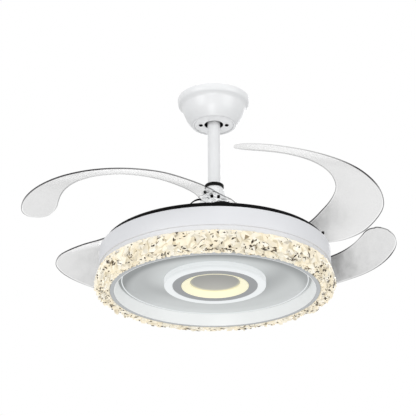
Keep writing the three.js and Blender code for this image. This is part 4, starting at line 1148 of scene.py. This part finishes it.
class FAN_OT_crystals(Maker):
    """Makes the band of cut crystals and the clear ring behind it"""

    bl_idname = "fan.crystals"
    bl_label = "Crystals"

    def make(self, sizes):
        draw = random.Random(11)
        # Radius and height over the rim's foot in millimetres, size, how many, and how far they wander.
        rows = (
            (236.0, 38.0, 1.10, 1.00, 2.0), (239.5, 28.0, 1.15, 1.00, 2.5), (244.0, 17.0, 1.15, 1.04, 3.0),
            (240.0, 8.0, 1.05, 1.04, 3.0), (231.5, 2.2, 0.95, 1.00, 2.5), (223.0, 1.2, 0.9, 1.00, 1.5),
            (218.5, 1.6, 0.75, 1.00, 1.5), (236.0, 47.5, 0.80, 1.30, 1.0), (217.0, 1.0, 0.60, 1.30, 0.8),
        )
        whole = bmesh.new()
        layer = whole.faces.layers.float.new("facet")
        for number, (radius, height, size, count, wander) in enumerate(rows):
            total = int(sizes.crystal_count * count)
            for i in range(total):
                angle = 2 * math.pi * (i + 0.5 * (number % 2) + draw.uniform(-0.3, 0.3)) / total
                spot = Vector((
                    (radius + draw.uniform(-0.4, 0.4) * wander) * MM, 0,
                    RIM_FOOT + (height + draw.uniform(-0.5, 0.5) * wander) * MM,
                ))
                self.stone(whole, layer, draw, spot, angle, sizes.crystal_size * size)
        self.splinters(whole, layer, draw)
        mesh = bpy.data.meshes.new("crystals")
        whole.to_mesh(mesh)
        whole.free()
        fit("cut_crystals", mesh, finish("crystal"), "hung_frame", ["crystal_band"])
        self.carrier()

    def held(self, corner):
        """The corner moved into the band's room: below the drum's groove, outside the rim, over its foot."""
        radius = max(math.hypot(corner.x, corner.y), 1 * MM)
        low = RIM_FOOT - (2.2 if radius < 0.230 else 2.6) * MM
        high = DRUM_FOOT + 2.6 * MM
        z = min(max(corner.z, low), high)
        inner = 234.7 * MM if z > DRUM_FOOT - 0.4 * MM else 215 * MM
        outer = 239.3 * MM + (high - z) * 0.32
        share = min(max(radius, inner), outer) / radius
        return Vector((corner.x * share, corner.y * share, z))

    def hull(self, whole, points, place):
        """Adds the hull of some points, kept in the band's room, and returns its faces."""
        stone = bmesh.new()
        for point in points:
            stone.verts.new(point)
        hull = bmesh.ops.convex_hull(stone, input=stone.verts)
        spare = [v for v in hull["geom_interior"] + hull["geom_unused"] if isinstance(v, bmesh.types.BMVert)]
        bmesh.ops.delete(stone, geom=spare, context="VERTS")
        bmesh.ops.dissolve_limit(
            stone, angle_limit=math.radians(10), verts=stone.verts, edges=stone.edges
        )
        placed = {vert: whole.verts.new(self.held(place(vert.co))) for vert in stone.verts}
        faces = [whole.faces.new([placed[v] for v in face.verts]) for face in stone.faces]
        stone.free()
        return faces

    def stone(self, whole, layer, draw, spot, angle, size):
        """One pale cut stone: the hull of a few scattered points."""
        tilt = Matrix.Rotation(draw.uniform(0, math.pi), 3, "X")
        lean = Matrix.Rotation(draw.uniform(-0.35, 0.35), 3, "Z")
        long, wide, deep = draw.uniform(1.0, 1.6), draw.uniform(0.65, 1.0), draw.uniform(0.36, 0.5)
        points = []
        for _ in range(12):
            point = Vector((draw.gauss(0, 1), draw.gauss(0, 1), draw.gauss(0, 1))).normalized()
            point = Vector((point.x * deep, point.y * long, point.z * wide)) * size
            points.append(lean @ tilt @ point)
        turn = Matrix.Rotation(angle, 3, "Z")
        # The values given to the faces are painted light: one brightness for the stone, and a few faces
        # painted darker as shade.
        tone = draw.uniform(0.50, 0.84)
        for face in self.hull(whole, points, lambda corner: turn @ (corner + spot)):
            chance = draw.random()
            face[layer] = tone + draw.uniform(-0.08, 0.22)
            if chance < 0.11:
                face[layer] = draw.uniform(0.30, 0.44)
            elif chance < 0.13:
                face[layer] = draw.uniform(0.05, 0.28)

    def splinters(self, whole, layer, draw):
        """Dark and tan splinters on the stones, most of them in clusters low on the band."""
        groups, pieces = 52, 1250
        stones = BVHTree.FromBMesh(whole)
        clusters = [
            (2 * math.pi * (i + draw.random()) / groups, draw.uniform(0.35, 0.95), draw.uniform(5, 12))
            for i in range(groups)
        ]
        for _ in range(pieces):
            if draw.random() < 0.55:
                middle, place, spread = clusters[draw.randrange(len(clusters))]
                angle = middle + draw.gauss(0, 1) * spread / 240
                place += draw.gauss(0, 1) * spread / 130
            else:
                angle, place = draw.uniform(0, 2 * math.pi), draw.uniform(0.05, 1)
            radius, height, face_turn = self.outline(place)
            turn = Matrix.Rotation(angle, 3, "Z")
            outward = turn @ Vector((math.cos(face_turn), 0, math.sin(face_turn)))
            start = turn @ Vector((radius * MM, 0, RIM_FOOT + height * MM)) + outward * 0.02
            hit = stones.ray_cast(start, -outward, 0.04)[0]
            size = draw.uniform(1.5, 3.2) * MM
            long, slant = draw.uniform(1.2, 2.9), draw.gauss(0, 1) * 0.8
            dark = draw.random() < 0.62
            shades = [draw.random() for _ in range(8)]
            if hit is None:
                continue
            lie = turn @ Matrix.Rotation(-face_turn, 3, "Y") @ Matrix.Rotation(slant, 3, "X")
            points = [
                Vector((x * size * 0.6, y * size * long, w * size * 0.8)) for x, y, w in (
                    (1, 0.1, 0), (-1, 0, 0), (0, 1, 0.2), (0, -1, -0.1), (0.2, -0.3, 1), (0, 0.3, -1),
                )
            ]
            # Painted light on the splinters' faces: mostly dark or tan, now and then a bright painted glint.
            for face, chance in zip(self.hull(whole, points, lambda corner: lie @ corner + hit), shades):
                face[layer] = 0.95 if chance > 0.93 else chance * (0.13 if dark else 0.38)

    def outline(self, place):
        """The band's outer face, from 0 at the drum to 1 at the rim: radius, height, facing angle."""
        points = ((240, 39), (245, 22), (245, 8), (237, 0), (227, -2), (217, 0))
        i = min(int(place * 5), 4)
        share = min(max(place * 5 - i, 0.0), 1.0)
        (r, h), (next_r, next_h) = points[i], points[i + 1]
        facing = math.atan2(next_r - r, h - next_h)
        return r + (next_r - r) * share, h + (next_h - h) * share, facing

    def carrier(self):
        """The clear ring of angled section that the crystals are glued to."""
        r, high, low = span("crystal_carrier")
        inner = 209
        outline = [
            (inner, low, 0.4), (r, low, 0.8), (r, high, 0.6), (r - 3, high, 0.6),
            (r - 3, low + 3, 1), (inner, low + 3, 0.4),
        ]
        lathe("crystal_backing", outline, "crystal_carrier", "clear_plastic", steps=LAMP_STEPS)


class FAN_OT_light(Maker):
    """Makes the wall, pan, rings and lit cone inside the lamp"""

    bl_idname = "fan.light"
    bl_label = "Recessed light"

    def make(self, sizes):
        z = RIM_FOOT / MM
        self.wall(z)
        self.pan(z + 23.8)
        self.rings()

    def wall(self, z):
        """The white wall, from the flange on the rim up to the ledge that the pan lies on."""
        flange, pan = z + 1.9, z + 23.8
        outline = [
            (204.2, z + 0.3, 0.4), (205.7, z + 0.3, 0.4), (205.7, flange, 0.3), (210.2, flange, 0.3),
            (210.2, flange + 1.5, 0.3), (205.7, flange + 1.5, 0.4), (198.5, pan + 2.2, 0.6),
            (198.5, pan + 3, 0.3), (194, pan + 3, 0.3), (194, pan + 1.8, 0.3), (197, pan + 1.8, 0.3),
            (197, pan, 0.8),
        ]
        lathe("recess_ring", outline, "recess_wall", "opal", steps=LAMP_STEPS, look="wall")

    def pan(self, z):
        """The grey dish, rising towards its flat middle, and the white bead round its rim."""
        middle = z + 4
        outline = [
            (196.7, z, 0.3), (191.2, z, 0.3), (190.9, z - 0.9, 0.5), (189.3, z - 0.9, 0.5), (189, z, 0.4),
            (183, z + 5.6, 5), (150, z + 9, 30), (104, middle, 12), (40, middle, 0.2),
            (40, middle + 1.5, 0.2), (104, middle + 1.5, 12), (150, z + 10.5, 30), (182, z + 7.1, 5),
            (188, z + 1.5, 2), (196.7, z + 1.5, 0.3),
        ]
        lathe("pan_dish", outline, "reflector_pan", "grey_paint", steps=LAMP_STEPS)
        bead = [(1.05 * math.cos(turn) + 190.1, 1.05 * math.sin(turn) + z - 0.9)
                for turn in (2 * math.pi * i / 14 for i in range(14))]
        # The bead takes the opal finish, so it glows with painted light.
        fit("pan_bead", turned("pan_bead", bead, LAMP_STEPS), finish("opal"), "hung_frame", [])

    def rings(self):
        """The opal ring, the flat grey ring, the lit cone and the disc, from the outside in."""
        low = span("opal_ring")[2]
        outline = [
            (87.2, 0, 1.2), (104, 0, 2.6), (104, 6.4, 0.3), (103.1, 6.9, 0.3), (103.1, 7.5, 0.3),
            (104, 8, 0.3), (104, 14.4, 0.4), (84.2, 14.4, 0.3), (84.2, 3.4, 0.3), (87.2, 3.4, 0.3),
        ]
        self.raised("opal_hoop", outline, low, "opal_ring", "opal")
        _, high, low = span("grey_ring")
        outline = [(69, low, 0.4), (86.9, low, 0.4), (86.9, high, 0.3), (69, high, 0.3)]
        lathe("grey_hoop", outline, "grey_ring", "grey_paint", steps=200, look="grey_hoop")
        low = span("warm_diffuser")[2]
        outline = [
            (68.7, 0, 0.5), (68.7, 2.9, 0.3), (73.7, 2.9, 0.3), (73.7, 4.4, 0.3), (67.7, 4.4, 1.5),
            (52.3, 8.9, 0.5), (51.3, 8.9, 0.3), (51.3, 7.9, 0.5), (67.3, 0, 0.7),
        ]
        self.raised("warm_cone", outline, low, "warm_diffuser", "warm_glow")
        _, high, low = span("centre_disc")
        outline = [(0, low), (54, low, 0.4), (54, high, 0.4), (0, high)]
        lathe("middle_disc", outline, "centre_disc", "cream_paint", steps=160, closed=False)

    def raised(self, name, outline, low, node, slot_name):
        """A ring whose outline counts its heights up from its foot."""
        lifted = [(r, low + height, size) for r, height, size in outline]
        lathe(name, lifted, node, slot_name, steps=200)


class FAN_OT_inner(Maker):
    """Gives every node that stays its own finish"""

    bl_idname = "fan.inner"
    bl_label = "Inner parts"

    def make(self, sizes):
        slots = {row["node"]: row["material_slot"] for row in frame["record"]["subparts"]}
        for name, node in frame["nodes"].items():
            node.data.materials.clear()
            node.data.materials.append(finish(slots[name]))


class FAN_OT_stage(Maker):
    """Makes the floor, the lamps, the pale surroundings and the camera"""

    bl_idname = "fan.stage"
    bl_label = "Stage"

    def make(self, sizes):
        self.floor()
        self.surroundings()
        self.lamps()
        self.camera()

    def floor(self):
        half, z = 9, -4.7
        mesh = bpy.data.meshes.new("floor")
        corners = [(-half, -half, z), (half, -half, z), (half, half, z), (-half, half, z)]
        mesh.from_pydata(corners, [], [(0, 1, 2, 3)])
        floor = link("floor", mesh)
        look = Finish("floor_white")
        matte = look.node("ShaderNodeBsdfDiffuse", {}, {"Color": (0.86, 0.86, 0.86, 1)})
        glow = look.node("ShaderNodeEmission", {}, {"Color": (1, 1, 1, 1), "Strength": 0.5})
        both = look.node("ShaderNodeAddShader", {}, {0: matte, 1: glow})
        look.output(look.node("ShaderNodeMixShader", {}, {0: look.seen(), 1: matte, 2: both}))
        mesh.materials.append(look.material)

    def surroundings(self):
        world = bpy.context.scene.world or bpy.data.worlds.new("pale")
        bpy.context.scene.world = world
        sky = Nodes(world)
        white = sky.node("ShaderNodeBackground", {}, {"Color": (1, 1, 1, 1)})
        soft = sky.node("ShaderNodeBackground", {}, {"Color": (0.98, 0.99, 1.0, 1), "Strength": 0.64})
        mixed = sky.node("ShaderNodeMixShader", {}, {0: sky.seen(), 1: soft, 2: white})
        sky.node("ShaderNodeOutputWorld", {}, {"Surface": mixed})
        bpy.context.scene.view_settings.view_transform = "Standard"

    def lamps(self):
        middle = Vector((0, 0, -0.3))
        for name, spot, size, power in (
            ("key", (-2.1, -2.0, -0.1), 1.6, 23), ("fill", (2.4, -1.8, -0.3), 2.0, 28),
            ("under", (-0.4, -2.5, -1.8), 1.2, 23), ("back", (0.4, 2.4, 0.8), 1.8, 16),
            ("top", (0, -0.3, 1.6), 1.5, 14),
        ):
            light = bpy.data.lights.new(name, "AREA")
            light.size, light.energy = size, power
            lamp = link(name, light)
            lamp.location = spot
            lamp.rotation_mode = "QUATERNION"
            lamp.rotation_quaternion = (middle - Vector(spot)).to_track_quat("-Z", "Y")

    def camera(self):
        """Looks up at the lamp from the front, turned a little about its own line of sight."""
        pitch, roll = math.radians(24.086), math.radians(0.326)
        place = (-0.0135, -2.6701, -1.4486)
        lens = bpy.data.cameras.new("camera")
        lens.sensor_width, lens.lens = 36, 121.15
        lens.clip_start, lens.clip_end = 0.05, 60
        camera = link("camera", lens)
        right = Vector((1, 0, 0))
        up = Vector((0, -math.sin(pitch), math.cos(pitch)))
        ahead = Vector((0, math.cos(pitch), math.sin(pitch)))
        across = right * math.cos(roll) - up * math.sin(roll)
        upward = right * math.sin(roll) + up * math.cos(roll)
        turn = Matrix((across, upward, -ahead)).transposed().to_4x4()
        camera.matrix_world = Matrix.Translation(place) @ turn
        bpy.context.scene.camera = camera


class FAN_PT_panel(bpy.types.Panel):
    """Lists the sizes, the colours and the steps"""

    bl_label = "Folding blade fan"
    bl_idname = "FAN_PT_panel"
    bl_space_type = "VIEW_3D"
    bl_region_type = "UI"
    bl_category = "Fan"

    def draw(self, context):
        for group in (context.scene.fan_sizes, context.scene.fan_finishes):
            box = self.layout.box()
            for name in group.__annotations__:
                box.prop(group, name)
        for step in STEPS:
            self.layout.operator(step.bl_idname)


STEPS = (
    FAN_OT_stage, FAN_OT_inner, FAN_OT_ceiling, FAN_OT_rod, FAN_OT_motor, FAN_OT_blades,
    FAN_OT_shell, FAN_OT_crystals, FAN_OT_light,
)
CLASSES = (FanSizes, FanFinishes, *STEPS, FAN_PT_panel)


def register():
    for item in CLASSES:
        bpy.utils.register_class(item)
    bpy.types.Scene.fan_sizes = PointerProperty(type=FanSizes)
    bpy.types.Scene.fan_finishes = PointerProperty(type=FanFinishes)


def unregister():
    del bpy.types.Scene.fan_finishes
    del bpy.types.Scene.fan_sizes
    for item in reversed(CLASSES):
        bpy.utils.unregister_class(item)


def main():
    register()
    for step in STEPS:
        getattr(bpy.ops.fan, step.bl_idname.split(".")[1])()


if __name__ == "__main__":
    main()
